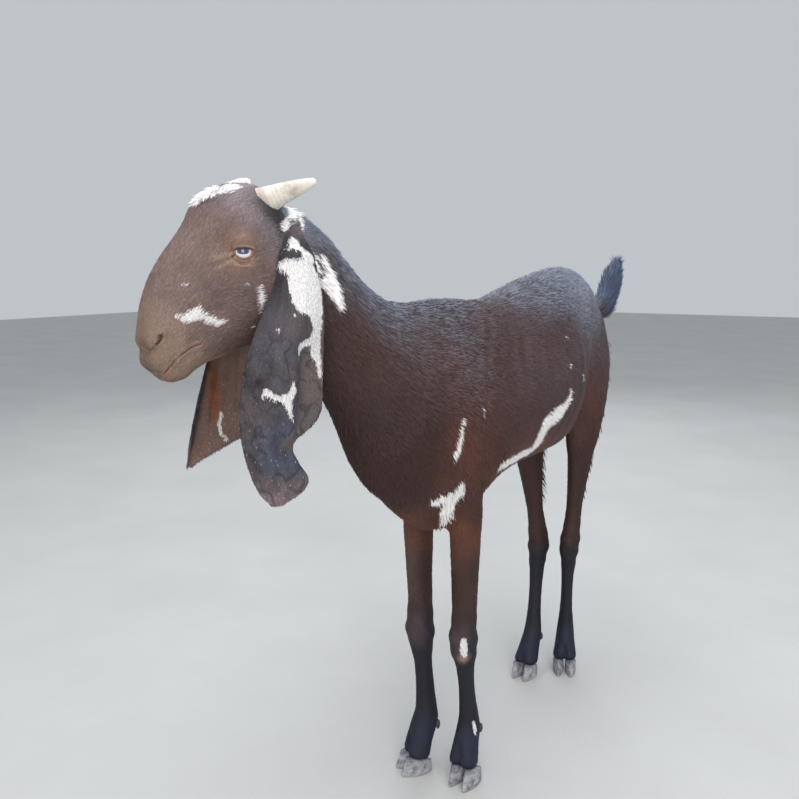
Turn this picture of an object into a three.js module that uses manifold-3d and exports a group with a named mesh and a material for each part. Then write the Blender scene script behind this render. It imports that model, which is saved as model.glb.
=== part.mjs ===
// A tall long-eared goat standing still. Millimetres, +Z up, nose towards -Y, its left towards +X.
import * as THREE from 'three';
import Module from 'manifold-3d';
import { mergeVertices } from 'three/addons/utils/BufferGeometryUtils.js';

const solidKit = await Module();
solidKit.setup();
const { Manifold, Mesh: SolidMesh } = solidKit;

const GAP = 0.3; // clearance between neighbouring solids

// ---------------------------------------------------------------- trunk and neck
// Each section is a ring leaning from its upper point to its lower point in the middle plane.
// top, low: [y, z]; left, right: half widths; wide: height of the widest level (0 low, 1 top);
// roofFull, floorFull: roundness above and below it (2 is an ellipse); shift: sideways offset.
const BODY_SECTIONS = [
  { name: 'tail root', top: [622, 822], low: [654, 778], left: 24, right: 24, wide: 0.5, roofFull: 2.0, floorFull: 2.0 },
  { name: 'pin bones', top: [598, 852], low: [636, 736], left: 48, right: 48, wide: 0.52, roofFull: 2.0, floorFull: 2.0 },
  { name: 'rump', top: [564, 889], low: [590, 690], left: 60, right: 60, wide: 0.56, roofFull: 1.6, floorFull: 2.1 },
  { name: 'croup', top: [526, 918], low: [530, 640], left: 72, right: 72, wide: 0.62, roofFull: 1.7, floorFull: 2.1 },
  { name: 'hooks', top: [465, 928], low: [465, 598], left: 81, right: 79, wide: 0.68, roofFull: 1.85, floorFull: 2.2 },
  { name: 'flank', top: [400, 926], low: [400, 562], left: 99, right: 92, wide: 0.5, roofFull: 1.8, floorFull: 2.3 },
  { name: 'paunch', top: [330, 914], low: [330, 552], left: 126, right: 112, wide: 0.46, roofFull: 1.8, floorFull: 2.2 },
  { name: 'barrel', top: [260, 899], low: [250, 550], left: 128, right: 118, wide: 0.46, roofFull: 1.8, floorFull: 2.1 },
  { name: 'last ribs', top: [195, 884], low: [165, 546], left: 122, right: 116, wide: 0.46, roofFull: 1.8, floorFull: 2.0 },
  { name: 'chest', top: [135, 874], low: [80, 524], left: 110, right: 108, wide: 0.46, roofFull: 1.8, floorFull: 1.9 },
  { name: 'heart girth', top: [85, 874], low: [0, 478], left: 101, right: 101, wide: 0.48, roofFull: 1.8, floorFull: 1.8 },
  { name: 'withers', top: [35, 878], low: [-72, 488], left: 96, right: 96, wide: 0.48, roofFull: 1.7, floorFull: 1.9 },
  { name: 'brisket', top: [-15, 880], low: [-138, 546], left: 90, right: 90, wide: 0.46, roofFull: 1.7, floorFull: 2.0, shift: -1 },
  { name: 'shoulder point', top: [-62, 879], low: [-188, 590], left: 82, right: 82, wide: 0.42, roofFull: 1.7, floorFull: 2.1, shift: -5 },
];
const NECK_SECTIONS = [
  { name: 'neck base', top: [-108, 878], low: [-222, 655], left: 70, right: 70, wide: 0.42, roofFull: 1.7, floorFull: 2.0, shift: -13 },
  { name: 'lower neck', top: [-158, 892], low: [-248, 718], left: 58, right: 58, wide: 0.44, roofFull: 1.7, floorFull: 2.0, shift: -25 },
  { name: 'mid neck', top: [-200, 930], low: [-282, 762], left: 52, right: 52, wide: 0.46, roofFull: 1.8, floorFull: 2.0, shift: -38 },
  { name: 'upper neck', top: [-240, 975], low: [-318, 798], left: 50, right: 50, wide: 0.48, roofFull: 1.9, floorFull: 2.0, shift: -52 },
  { name: 'throat', top: [-288, 1010], low: [-358, 826], left: 48, right: 48, wide: 0.5, roofFull: 2.0, floorFull: 2.0, shift: -64 },
  { name: 'atlas', top: [-325, 1018], low: [-394, 850], left: 42, right: 42, wide: 0.5, roofFull: 2.0, floorFull: 2.0, shift: -71 },
];
const BODY_SPOKES = 22;
const TRUNK_RINGS = 21;
const NECK_RINGS = 10;
const NECK_TURN = 12; // degrees the top of the neck is turned to the goat's right

// ---------------------------------------------------------------- head
// In the head's own frame: along runs from the poll to the muzzle, rise towards the forehead.
// roof, floor: [along, rise]; half: half width; wide: height of the widest level.
const HEAD_SECTIONS = [
  { name: 'nape', roof: [-26, -8], floor: [16, -92], half: 34, wide: 0.55, roofFull: 2.0, floorFull: 2.0 },
  { name: 'poll', roof: [-8, 18], floor: [40, -118], half: 46, wide: 0.58, roofFull: 2.2, floorFull: 2.0 },
  { name: 'horn line', roof: [18, 39], floor: [64, -134], half: 53, wide: 0.64, roofFull: 2.3, floorFull: 1.9 },
  { name: 'brow', roof: [48, 48], floor: [90, -148], half: 58, wide: 0.64, roofFull: 2.4, floorFull: 1.7 },
  { name: 'eyes', roof: [80, 43], floor: [114, -148], half: 56, wide: 0.61, roofFull: 2.2, floorFull: 1.7 },
  { name: 'nose root', roof: [108, 40], floor: [137, -138], half: 47, wide: 0.57, roofFull: 2.1, floorFull: 1.8 },
  { name: 'nose arch', roof: [138, 39], floor: [160, -125], half: 40, wide: 0.54, roofFull: 2.0, floorFull: 1.9 },
  { name: 'cheek end', roof: [168, 34], floor: [184, -111], half: 35, wide: 0.52, roofFull: 2.0, floorFull: 2.0 },
  { name: 'mouth corner', roof: [196, 24], floor: [207, -97], half: 32, wide: 0.5, roofFull: 2.1, floorFull: 2.1 },
  { name: 'nostrils', roof: [220, 10], floor: [230, -88], half: 31, wide: 0.52, roofFull: 2.2, floorFull: 2.2 },
  { name: 'muzzle', roof: [239, -6], floor: [248, -81], half: 28, wide: 0.52, roofFull: 2.2, floorFull: 2.2 },
  { name: 'lips', roof: [252, -28], floor: [259, -66], half: 17, wide: 0.5, roofFull: 2.2, floorFull: 2.2 },
];
const HEAD_SPOKES = 26;
const HEAD_RINGS = 26;
const HEAD_POLL = [-72, -366, 1023];
const HEAD_PITCH = 46; // degrees the muzzle drops below level
const HEAD_TURN = 12; // degrees to the goat's right
const HEAD_LEAN = 0; // degrees of roll
// swells raise or sink the head's surface: at [side, along, rise], reach and height in mm
const HEAD_SWELLS = [
  { name: 'brow ridge', at: [56, 62, -15], reach: [16, 18, 12], height: 6 },
  { name: 'eye hollow', at: [56, 87, -30], reach: [16, 16, 11], height: -3 },
  { name: 'cheek bone', at: [50, 100, -46], reach: [14, 26, 9], height: 5 },
  { name: 'jaw muscle', at: [44, 84, -80], reach: [16, 26, 22], height: 7 },
  { name: 'hollow cheek', at: [36, 146, -50], reach: [16, 24, 16], height: -4 },
  { name: 'lip pad', at: [27, 224, -44], reach: [12, 16, 10], height: 3 },
  { name: 'mouth seam', at: [28, 216, -56], reach: [12, 22, 4], height: -3 },
  { name: 'nostril', at: [22, 232, -16], reach: [10, 9, 6], height: -5 },
  { name: 'nostril wing', at: [24, 226, -28], reach: [10, 10, 5], height: 3 },
];

// ---------------------------------------------------------------- eyes, horns, ears
const EYE_RADIUS = 14;
const EYE_AT = [47.5, 80, -23.5];
const HORN = { length: 66, across: 13, deep: 19, tip: 4, back: 53, out: 42, up: -17, curve: 3 };
const HORN_AT = { left: [34, -4, -11], right: [30, -2, 6] };
// Half-width reaches of the hanging ear towards its front and rear edges, at shares of its length.
const LEFT_EAR_OUTLINE = [
  { share: 0.0, front: 14, rear: 14 },
  { share: 0.06, front: 20, rear: 25 },
  { share: 0.16, front: 30, rear: 34 },
  { share: 0.28, front: 45, rear: 41 },
  { share: 0.4, front: 61, rear: 42 },
  { share: 0.52, front: 71, rear: 42 },
  { share: 0.62, front: 75, rear: 42 },
  { share: 0.66, front: 75, rear: 40 },
  { share: 0.71, front: 73, rear: 28 },
  { share: 0.77, front: 69, rear: 2 },
  { share: 0.84, front: 62, rear: 11 },
  { share: 0.91, front: 52, rear: 26 },
  { share: 0.96, front: 41, rear: 17 },
  { share: 1.0, front: 27, rear: -6 },
];
// The right ear hangs to a point at its front corner.
const RIGHT_EAR_OUTLINE = [
  { share: 0.0, front: 14, rear: 14 },
  { share: 0.1, front: 23, rear: 28 },
  { share: 0.25, front: 33, rear: 38 },
  { share: 0.45, front: 50, rear: 44 },
  { share: 0.65, front: 62, rear: 46 },
  { share: 0.8, front: 69, rear: 42 },
  { share: 0.88, front: 71, rear: 30 },
  { share: 0.94, front: 71, rear: -16 },
  { share: 1.0, front: 69, rear: -55 },
];
const EAR = { thick: 4, edgeThick: 2.4, bow: 20, foldFrom: 0.3, foldFull: 0.5 };
const EAR_RINGS = 17;
const EAR_POINTS = 8; // from the front edge to the rear one
const EARS = {
  left: {
    side: 1, outline: LEFT_EAR_OUTLINE, length: 370, root: [45, 8, -60],
    swing: 25, forward: 0, outward: 2, flare: 16, sway: 16, foldIn: 12,
  },
  right: {
    side: -1, outline: RIGHT_EAR_OUTLINE, length: 345, root: [45, 4, -60],
    swing: 2, forward: 3, outward: 10, flare: 8, sway: 12, foldIn: 0,
  },
};

// ---------------------------------------------------------------- legs
const LEGS = {
  fore_left: {
    kind: 'fore', side: 1, turn: 0,
    joints: { top: [52, -62, 745], elbow: [52, 0, 520], knee: [46, 3, 275], fetlock: [45, 26, 96], coronet: [45, 5, 29] },
  },
  fore_right: {
    kind: 'fore', side: -1, turn: -32,
    joints: { top: [-52, -66, 745], elbow: [-55, 10, 520], knee: [-43, -2, 278], fetlock: [-33, 1, 96], coronet: [-43, -18, 29] },
  },
  hind_left: {
    kind: 'hind', side: 1, turn: 25,
    joints: { top: [42, 552, 815], stifle: [43, 540, 590], knee: [30, 496, 300], fetlock: [25, 499, 88], coronet: [34, 479, 29] },
  },
  hind_right: {
    kind: 'hind', side: -1, turn: 0,
    joints: { top: [-42, 536, 815], stifle: [-44, 422, 590], knee: [-34, 468, 294], fetlock: [-30, 440, 88], coronet: [-32, 410, 29] },
  },
};
// girths along each bone: t from the first joint to the second, front and back reach, half side
const FORE_GIRTHS = [
  { bone: ['top', 'elbow'], t: 0.0, front: 60, back: 50, side: 24 },
  { bone: ['top', 'elbow'], t: 0.3, front: 84, back: 70, side: 34 },
  { bone: ['top', 'elbow'], t: 0.6, front: 76, back: 58, side: 38 },
  { bone: ['top', 'elbow'], t: 0.85, front: 50, back: 34, side: 33 },
  { bone: ['elbow', 'knee'], t: 0.03, front: 38, back: 33, side: 31 },
  { bone: ['elbow', 'knee'], t: 0.2, front: 36, back: 32, side: 28 },
  { bone: ['elbow', 'knee'], t: 0.5, front: 30.5, back: 28.5, side: 24 },
  { bone: ['elbow', 'knee'], t: 0.8, front: 25, back: 25, side: 22 },
  { bone: ['elbow', 'knee'], t: 0.98, front: 31, back: 27, side: 25 },
];
const FORE_CANNON_GIRTHS = [
  { bone: ['elbow', 'knee'], t: 0.98, front: 31, back: 27, side: 25 },
  { bone: ['knee', 'fetlock'], t: 0.1, front: 29, back: 26, side: 24 },
  { bone: ['knee', 'fetlock'], t: 0.3, front: 19, back: 20, side: 17 },
  { bone: ['knee', 'fetlock'], t: 0.6, front: 17, back: 21, side: 15 },
  { bone: ['knee', 'fetlock'], t: 0.87, front: 20, back: 24, side: 18 },
];
const HIND_GIRTHS = [
  { bone: ['top', 'stifle'], t: 0.0, front: 46, back: 44, side: 20 },
  { bone: ['top', 'stifle'], t: 0.25, front: 82, back: 84, side: 32 },
  { bone: ['top', 'stifle'], t: 0.55, front: 94, back: 98, side: 36 },
  { bone: ['top', 'stifle'], t: 0.85, front: 92, back: 83, side: 35 },
  { bone: ['stifle', 'knee'], t: 0.1, front: 80, back: 64, side: 32 },
  { bone: ['stifle', 'knee'], t: 0.3, front: 52, back: 38, side: 27 },
  { bone: ['stifle', 'knee'], t: 0.5, front: 34, back: 28, side: 22 },
  { bone: ['stifle', 'knee'], t: 0.7, front: 25, back: 24, side: 18 },
  { bone: ['stifle', 'knee'], t: 0.88, front: 25, back: 37, side: 19 },
  { bone: ['stifle', 'knee'], t: 1.0, front: 29, back: 40, side: 22 },
];
const HIND_CANNON_GIRTHS = [
  { bone: ['stifle', 'knee'], t: 1.0, front: 29, back: 40, side: 22 },
  { bone: ['knee', 'fetlock'], t: 0.15, front: 25, back: 30, side: 18 },
  { bone: ['knee', 'fetlock'], t: 0.35, front: 19, back: 23, side: 15 },
  { bone: ['knee', 'fetlock'], t: 0.65, front: 17, back: 21, side: 14.5 },
  { bone: ['knee', 'fetlock'], t: 0.87, front: 20, back: 24, side: 18 },
];
const PASTERN_GIRTHS = [
  { bone: ['knee', 'fetlock'], t: 0.87, front: 20, back: 24, side: 18, pinch: 0 },
  { bone: ['fetlock', 'coronet'], t: 0.05, front: 31, back: 27, side: 21, pinch: 0.05 },
  { bone: ['fetlock', 'coronet'], t: 0.4, front: 32, back: 24, side: 23.5, pinch: 0.15 },
  { bone: ['fetlock', 'coronet'], t: 0.75, front: 30, back: 25, side: 27, pinch: 0.25 },
  { bone: ['fetlock', 'coronet'], t: 1.0, front: 28, back: 27, side: 28.5, pinch: 0.3, rake: 0.27 },
];
const LEG_SPOKES = 12;
const UPPER_RINGS = 14;
const CANNON_RINGS = 8;
const PASTERN_RINGS = 6;
const HOOF = { toe: 38, heel: 27, topToe: 25.5, topHeel: 25, half: 12.8, apart: 13.9, rake: 0.27 };
const DEWCLAW = { radius: 6.5, length: 22, apart: 11, back: 21, drop: 12, tilt: -58 };

// the tail stands up in a short brush: points along its core, half depth and half thickness there
const TAIL_SECTIONS = [
  { at: [0, 630, 806], deep: 16, side: 12 },
  { at: [3, 684, 818], deep: 28, side: 16 },
  { at: [8, 722, 846], deep: 36, side: 18 },
  { at: [13, 732.6, 880], deep: 32.6, side: 18 },
  { at: [18, 742, 912], deep: 24, side: 14 },
  { at: [22, 748, 944], deep: 8, side: 6 },
];

const COLOURS = { coat: 0x4a352f, dark: 0x2b2a33, horn: 0xc9bfae, eye: 0xbfd0e0, hoof: 0x77757a };

// ================================================================ shared helpers
const radians = THREE.MathUtils.degToRad;
const bend = (value, power) => Math.sign(value) * Math.abs(value) ** (2 / power);

/** Value of a smooth curve through a list of numbers, at a fractional index. */
function through(values, index) {
  const last = values.length - 1;
  const k = Math.min(Math.floor(index), last - 1);
  const pick = (i) => values[Math.min(Math.max(i, 0), last)];
  const t = index - k;
  const [a, b, c, d] = [pick(k - 1), pick(k), pick(k + 1), pick(k + 2)];
  const slopeIn = (c - a) / 2;
  const slopeOut = (d - b) / 2;
  const square = t * t;
  const cube = square * t;
  return (2 * cube - 3 * square + 1) * b + (cube - 2 * square + t) * slopeIn
    + (3 * square - 2 * cube) * c + (cube - square) * slopeOut;
}

/** Blend a table of rows into evenly spaced ones: numbers and short arrays are interpolated. */
function blendRows(rows, count, from = 0, to = rows.length - 1) {
  const keys = Object.keys(rows[0]).filter((key) => typeof rows[0][key] !== 'string');
  return Array.from({ length: count }, (_, n) => {
    const index = from + ((to - from) * n) / (count - 1);
    const row = {};
    for (const key of keys) {
      const first = rows[0][key];
      row[key] = Array.isArray(first)
        ? first.map((_, axis) => through(rows.map((r) => r[key][axis]), index))
        : through(rows.map((r) => r[key]), index);
    }
    return row;
  });
}

/** Skin a list of rings (same count of points each) into one closed geometry. */
function loft(rings) {
  const spokes = rings[0].length;
  const middle = (ring) => ring.reduce((sum, p) => sum.add(p), new THREE.Vector3()).divideScalar(spokes);
  const points = [...rings.flat(), middle(rings[0]), middle(rings[rings.length - 1])];
  const faces = [];
  for (let r = 0; r < rings.length - 1; r += 1) {
    for (let s = 0; s < spokes; s += 1) {
      const a = r * spokes + s;
      const b = r * spokes + ((s + 1) % spokes);
      faces.push(a, b, a + spokes, b, b + spokes, a + spokes);
    }
  }
  const firstCap = rings.length * spokes;
  const lastRing = (rings.length - 1) * spokes;
  for (let s = 0; s < spokes; s += 1) {
    const next = (s + 1) % spokes;
    faces.push(firstCap, next, s, firstCap + 1, lastRing + s, lastRing + next);
  }
  const geometry = new THREE.BufferGeometry().setFromPoints(points);
  geometry.setIndex(faces);
  return geometry;
}

/** Six times the signed volume of an indexed closed geometry: negative when its faces point inwards. */
function signedVolume(geometry) {
  const position = geometry.getAttribute('position');
  const index = geometry.getIndex();
  const corners = [new THREE.Vector3(), new THREE.Vector3(), new THREE.Vector3()];
  let sum = 0;
  for (let face = 0; face < index.count; face += 3) {
    corners.forEach((corner, k) => corner.fromBufferAttribute(position, index.getX(face + k)));
    sum += corners[0].dot(corners[1].cross(corners[2]));
  }
  return sum;
}

/** three.js geometry to a manifold solid, turned the right way out if needed. */
function toSolid(geometry) {
  const bare = new THREE.BufferGeometry();
  bare.setAttribute('position', geometry.getAttribute('position'));
  bare.setIndex(geometry.getIndex());
  const welded = mergeVertices(bare, 1e-4);
  if (signedVolume(welded) < 0) welded.getIndex().array.reverse();
  const mesh = new SolidMesh({
    numProp: 3,
    vertProperties: new Float32Array(welded.getAttribute('position').array),
    triVerts: new Uint32Array(welded.getIndex().array),
  });
  mesh.merge();
  return new Manifold(mesh);
}

/** Largest connected piece of a solid, so a cut never leaves crumbs behind. */
function mainPiece(solid) {
  const pieces = solid.decompose();
  return pieces.reduce((best, piece) => (piece.volume() > best.volume() ? piece : best));
}

function toGeometry(solid) {
  const mesh = solid.getMesh();
  const geometry = new THREE.BufferGeometry();
  const points = new Float32Array(mesh.numVert * 3);
  for (let v = 0; v < mesh.numVert; v += 1) {
    for (let axis = 0; axis < 3; axis += 1) {
      points[v * 3 + axis] = mesh.vertProperties[v * mesh.numProp + axis];
    }
  }
  geometry.setAttribute('position', new THREE.BufferAttribute(points, 3));
  geometry.setIndex(new THREE.BufferAttribute(new Uint32Array(mesh.triVerts), 1));
  return geometry;
}

// ================================================================ trunk and neck
/** One leaning ring of the trunk or neck, grown outwards by a clearance. */
function bodyRing(section, grow) {
  const [topY, topZ] = section.top;
  const [lowY, lowZ] = section.low;
  const length = Math.hypot(topY - lowY, topZ - lowZ);
  const stretch = (length + 2 * grow) / length;
  const turn = radians(section.turn);
  const centre = new THREE.Vector3(section.shift, (topY + lowY) / 2, (topZ + lowZ) / 2);
  const ring = [];
  for (let s = 0; s < BODY_SPOKES; s += 1) {
    const angle = (s / BODY_SPOKES) * 2 * Math.PI;
    const up = Math.cos(angle);
    const power = up > 0 ? section.roofFull : section.floorFull;
    const across = bend(Math.sin(angle), power);
    const height = bend(up, power);
    const level = height > 0 ? section.wide + height * (1 - section.wide) : section.wide * (1 + height);
    const v = (level - 0.5) * stretch;
    const half = (across > 0 ? section.left : section.right) + grow;
    const point = new THREE.Vector3(half * across, v * (topY - lowY), v * (topZ - lowZ));
    point.applyAxisAngle(new THREE.Vector3(0, 0, 1), turn);
    ring.push(point.add(centre));
  }
  return ring;
}

function fillSections(sections, turnStart, turnEnd) {
  return sections.map((section, n) => ({
    shift: 0,
    turn: -turnStart - ((turnEnd - turnStart) * n) / (sections.length - 1),
    ...section,
  }));
}

function buildTorso() {
  const all = [...fillSections(BODY_SECTIONS, 0, 2), ...fillSections(NECK_SECTIONS, 4, NECK_TURN)];
  const split = BODY_SECTIONS.length - 0.5;
  const trunkRows = blendRows(all, TRUNK_RINGS, 0, split);
  const neckRows = blendRows(all, NECK_RINGS, split);
  const rings = (list, grow) => list.map((row) => bodyRing(row, grow));
  const neckRings = rings(neckRows, 0);
  const trunkGrown = rings(trunkRows, GAP);
  trunkGrown[0].forEach((point) => point.setY(point.y + 2 * GAP));
  const apart = new THREE.Vector3(0, -0.8, 0.6).multiplyScalar(GAP);
  neckRings[0].forEach((point) => point.add(apart));
  return {
    trunk: toSolid(loft(rings(trunkRows, 0))),
    trunkGrown: toSolid(loft(trunkGrown)),
    neck: toSolid(loft(neckRings)),
    neckGrown: toSolid(loft(rings(neckRows, GAP))),
  };
}

// ================================================================ head
const headFrame = new THREE.Matrix4();
{
  const turn = new THREE.Matrix4().makeRotationZ(radians(-HEAD_TURN));
  const pitch = new THREE.Matrix4().makeRotationX(radians(HEAD_PITCH));
  const lean = new THREE.Matrix4().makeRotationY(radians(HEAD_LEAN));
  const forward = new THREE.Matrix4().makeBasis(
    new THREE.Vector3(1, 0, 0), new THREE.Vector3(0, -1, 0), new THREE.Vector3(0, 0, 1),
  );
  headFrame.makeTranslation(...HEAD_POLL).multiply(turn).multiply(pitch).multiply(lean).multiply(forward);
}

/** How far the swells lift the head's surface at a point, the same on both sides. */
function headLift(point) {
  return HEAD_SWELLS.reduce((sum, swell) => {
    const x = (Math.abs(point.x) - swell.at[0]) / swell.reach[0];
    const y = (point.y - swell.at[1]) / swell.reach[1];
    const z = (point.z - swell.at[2]) / swell.reach[2];
    return sum + swell.height * Math.exp(-(x * x + y * y + z * z));
  }, 0);
}

function headRing(section, grow) {
  const [roofY, roofZ] = section.roof;
  const [floorY, floorZ] = section.floor;
  const ring = [];
  for (let s = 0; s < HEAD_SPOKES; s += 1) {
    const angle = (s / HEAD_SPOKES) * 2 * Math.PI;
    const up = Math.cos(angle);
    const power = up > 0 ? section.roofFull : section.floorFull;
    const height = bend(up, power);
    const level = height > 0 ? section.wide + height * (1 - section.wide) : section.wide * (1 + height);
    const point = new THREE.Vector3(
      section.half * bend(Math.sin(angle), power),
      THREE.MathUtils.lerp(floorY, roofY, level),
      THREE.MathUtils.lerp(floorZ, roofZ, level),
    );
    const outward = new THREE.Vector3(Math.sin(angle), 0, Math.cos(angle));
    ring.push(point.addScaledVector(outward, headLift(point) + grow));
  }
  return ring;
}

function buildHead(grow) {
  const rows = blendRows(HEAD_SECTIONS, HEAD_RINGS);
  const rings = rows.map((row) => headRing(row, grow).reverse());
  rings[rings.length - 1].forEach((point) => point.add(new THREE.Vector3(0, grow, 0)));
  rings[0].forEach((point) => point.add(new THREE.Vector3(0, -grow, 0)));
  return loft(rings);
}

const inHead = (geometry) => toSolid(geometry.applyMatrix4(headFrame));

function buildEye(side, grow) {
  const ball = new THREE.IcosahedronGeometry(EYE_RADIUS + grow, 2);
  ball.translate(side * EYE_AT[0], EYE_AT[1], EYE_AT[2]);
  return inHead(ball);
}

/** A horn sweeping back from the poll: rings along a gently curved line. */
function buildHorn(side, at) {
  const direction = new THREE.Vector3(side * HORN.out, -HORN.back, HORN.up).normalize();
  const root = new THREE.Vector3(side * at[0], at[1], at[2]);
  const sag = new THREE.Vector3(0, -0.35, -0.94);
  const across = new THREE.Vector3().crossVectors(direction, new THREE.Vector3(0, 0, 1)).normalize();
  const deep = new THREE.Vector3().crossVectors(across, direction).normalize();
  const rows = 7;
  const spokes = 10;
  const rings = [];
  for (let n = 0; n < rows; n += 1) {
    const t = n / (rows - 1);
    const along = -10 + t * (HORN.length + 10);
    const centre = root.clone().addScaledVector(direction, along).addScaledVector(sag, HORN.curve * t * t);
    const taper = (1 - t) ** 0.72;
    const ring = [];
    for (let s = 0; s < spokes; s += 1) {
      const angle = (s / spokes) * 2 * Math.PI;
      ring.push(centre.clone()
        .addScaledVector(across, Math.cos(angle) * (HORN.tip + (HORN.across - HORN.tip) * taper))
        .addScaledVector(deep, Math.sin(angle) * (HORN.tip + (HORN.deep - HORN.tip) * taper)));
    }
    rings.push(ring);
  }
  return rings;
}

// ================================================================ ears
/** One level of a hanging ear in its own frame: x outwards, y from front edge to rear, z up. */
function earRing(ear, row) {
  const t = row.share;
  const foldEnd = 1 - THREE.MathUtils.smoothstep(t, 0.72, 0.82);
  const fold = THREE.MathUtils.smoothstep(t, EAR.foldFrom, EAR.foldFull) * foldEnd;
  const outer = [];
  const inner = [];
  for (let s = 0; s < EAR_POINTS; s += 1) {
    const u = s / (EAR_POINTS - 1);
    const y = THREE.MathUtils.lerp(-row.front, row.rear, u);
    const tuck = fold * ear.foldIn * THREE.MathUtils.smoothstep(y, -10, 4);
    const bow = EAR.bow * (1 - ((u - 0.5) * 2) ** 2) * Math.sin(Math.PI * (0.15 + 0.8 * t));
    const thick = THREE.MathUtils.lerp(EAR.edgeThick, EAR.thick, Math.sin(Math.PI * u)) / 2;
    const x = bow - tuck + ear.flare * Math.sin(Math.PI * Math.min(1, 0.25 + 0.75 * t));
    const z = -ear.length * t;
    outer.push(new THREE.Vector3(x + thick, y - ear.sway * t * t, z));
    inner.unshift(new THREE.Vector3(x - thick, y - ear.sway * t * t, z));
  }
  return [...outer, ...inner];
}

function buildEar(ear) {
  const rings = blendRows(ear.outline, EAR_RINGS).map((row) => earRing(ear, row));
  const root = new THREE.Vector3(ear.side * ear.root[0], ear.root[1], ear.root[2]).applyMatrix4(headFrame);
  return loft(rings)
    .rotateY(radians(-ear.outward))
    .rotateX(radians(-ear.forward))
    .rotateZ(radians(-ear.swing))
    .scale(ear.side, 1, 1)
    .rotateZ(radians(-HEAD_TURN))
    .translate(root.x, root.y, root.z);
}

// ================================================================ legs
function legRows(leg, table) {
  const point = (name) => leg.joints[name];
  return table.map((row) => {
    const [from, to] = row.bone;
    const centre = point(from).map((value, axis) => THREE.MathUtils.lerp(value, point(to)[axis], row.t));
    const height = centre[2];
    const turnIn = THREE.MathUtils.smoothstep(-height, -420, -120);
    return {
      centre,
      front: row.front,
      back: row.back,
      side: row.side,
      pinch: row.pinch ?? 0,
      rake: row.rake ?? 0,
      turn: leg.turn * turnIn,
    };
  });
}

function legRing(row, grow) {
  const ring = [];
  for (let s = 0; s < LEG_SPOKES; s += 1) {
    const angle = (s / LEG_SPOKES) * 2 * Math.PI;
    const ahead = Math.cos(angle);
    const reach = (ahead > 0 ? row.front : row.back) + grow;
    const x = (row.side + grow) * Math.sin(angle);
    const notch = 1 - row.pinch * Math.exp(-((x / 7) ** 2));
    const forward = reach * ahead * notch;
    const point = new THREE.Vector3(x, -forward, row.rake * forward);
    point.applyAxisAngle(new THREE.Vector3(0, 0, 1), radians(row.turn));
    ring.push(point.add(new THREE.Vector3(...row.centre)));
  }
  return ring;
}

function buildLegPiece(leg, table, ringCount, grow, dropTop) {
  const rows = blendRows(legRows(leg, table), ringCount);
  const rings = rows.map((row) => legRing(row, grow));
  rings[0].forEach((point) => point.setZ(point.z - dropTop));
  return toSolid(loft(rings));
}

/** One claw of a hoof: flat sole on the floor, sloping toe wall, raked top. */
function buildClaw(leg, side) {
  const spokes = 10;
  const [x0, y0, z0] = leg.joints.coronet;
  const rows = [0, 0.14, 1];
  const rings = rows.map((t) => {
    const ring = [];
    for (let s = 0; s < spokes; s += 1) {
      const angle = (s / spokes) * 2 * Math.PI;
      const ahead = Math.cos(angle);
      const reach = ahead > 0
        ? THREE.MathUtils.lerp(HOOF.toe, HOOF.topToe, t)
        : THREE.MathUtils.lerp(HOOF.heel, HOOF.topHeel, t);
      const taper = ahead > 0 ? 1 - 0.35 * ahead * ahead : 1 - 0.12 * ahead * ahead;
      const spread = t === 0 ? 0.93 : 1;
      const x = HOOF.half * Math.sin(angle) * taper * spread + side * HOOF.apart;
      const forward = reach * ahead * spread;
      const point = new THREE.Vector3(x, -forward, t * (z0 - GAP + HOOF.rake * forward));
      point.applyAxisAngle(new THREE.Vector3(0, 0, 1), radians(leg.turn));
      ring.push(point.add(new THREE.Vector3(x0, y0, 0)));
    }
    return ring;
  });
  return toSolid(loft(rings));
}

/** A small blunt dewclaw hanging behind the fetlock. */
function buildDewclaw(leg, side) {
  const claw = new THREE.ConeGeometry(DEWCLAW.radius, DEWCLAW.length, 8);
  claw.rotateX(radians(DEWCLAW.tilt));
  claw.translate(side * DEWCLAW.apart, DEWCLAW.back, -DEWCLAW.drop);
  claw.rotateZ(radians(leg.turn));
  claw.translate(...leg.joints.fetlock);
  return toSolid(claw);
}

// ================================================================ tail
function buildTail() {
  const spokes = 10;
  const rows = blendRows(TAIL_SECTIONS, 7);
  const rings = rows.map((row, n) => {
    const before = new THREE.Vector3(...rows[Math.max(n - 1, 0)].at);
    const after = new THREE.Vector3(...rows[Math.min(n + 1, rows.length - 1)].at);
    const along = after.sub(before).normalize();
    const across = new THREE.Vector3(1, 0, 0).addScaledVector(along, -along.x).normalize();
    const deep = new THREE.Vector3().crossVectors(along, across);
    return Array.from({ length: spokes }, (_, s) => {
      const angle = (s / spokes) * 2 * Math.PI;
      return new THREE.Vector3(...row.at)
        .addScaledVector(across, Math.sin(angle) * row.side)
        .addScaledVector(deep, Math.cos(angle) * row.deep);
    });
  });
  return toSolid(loft(rings));
}

// ================================================================ assembly
const group = new THREE.Group();
group.name = 'goat';

function addPart(name, solid, colour) {
  const geometry = toGeometry(solid);
  geometry.computeVertexNormals();
  const material = new THREE.MeshStandardMaterial({ color: colour, roughness: 0.7 });
  const mesh = new THREE.Mesh(geometry, material);
  mesh.name = name;
  group.add(mesh);
  return mesh;
}

const torso = buildTorso();
const headSolid = inHead(buildHead(0));
const headGrown = inHead(buildHead(GAP));
let trunk = torso.trunk;
let neck = torso.neck.subtract(headGrown);
let head = headSolid;

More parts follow.
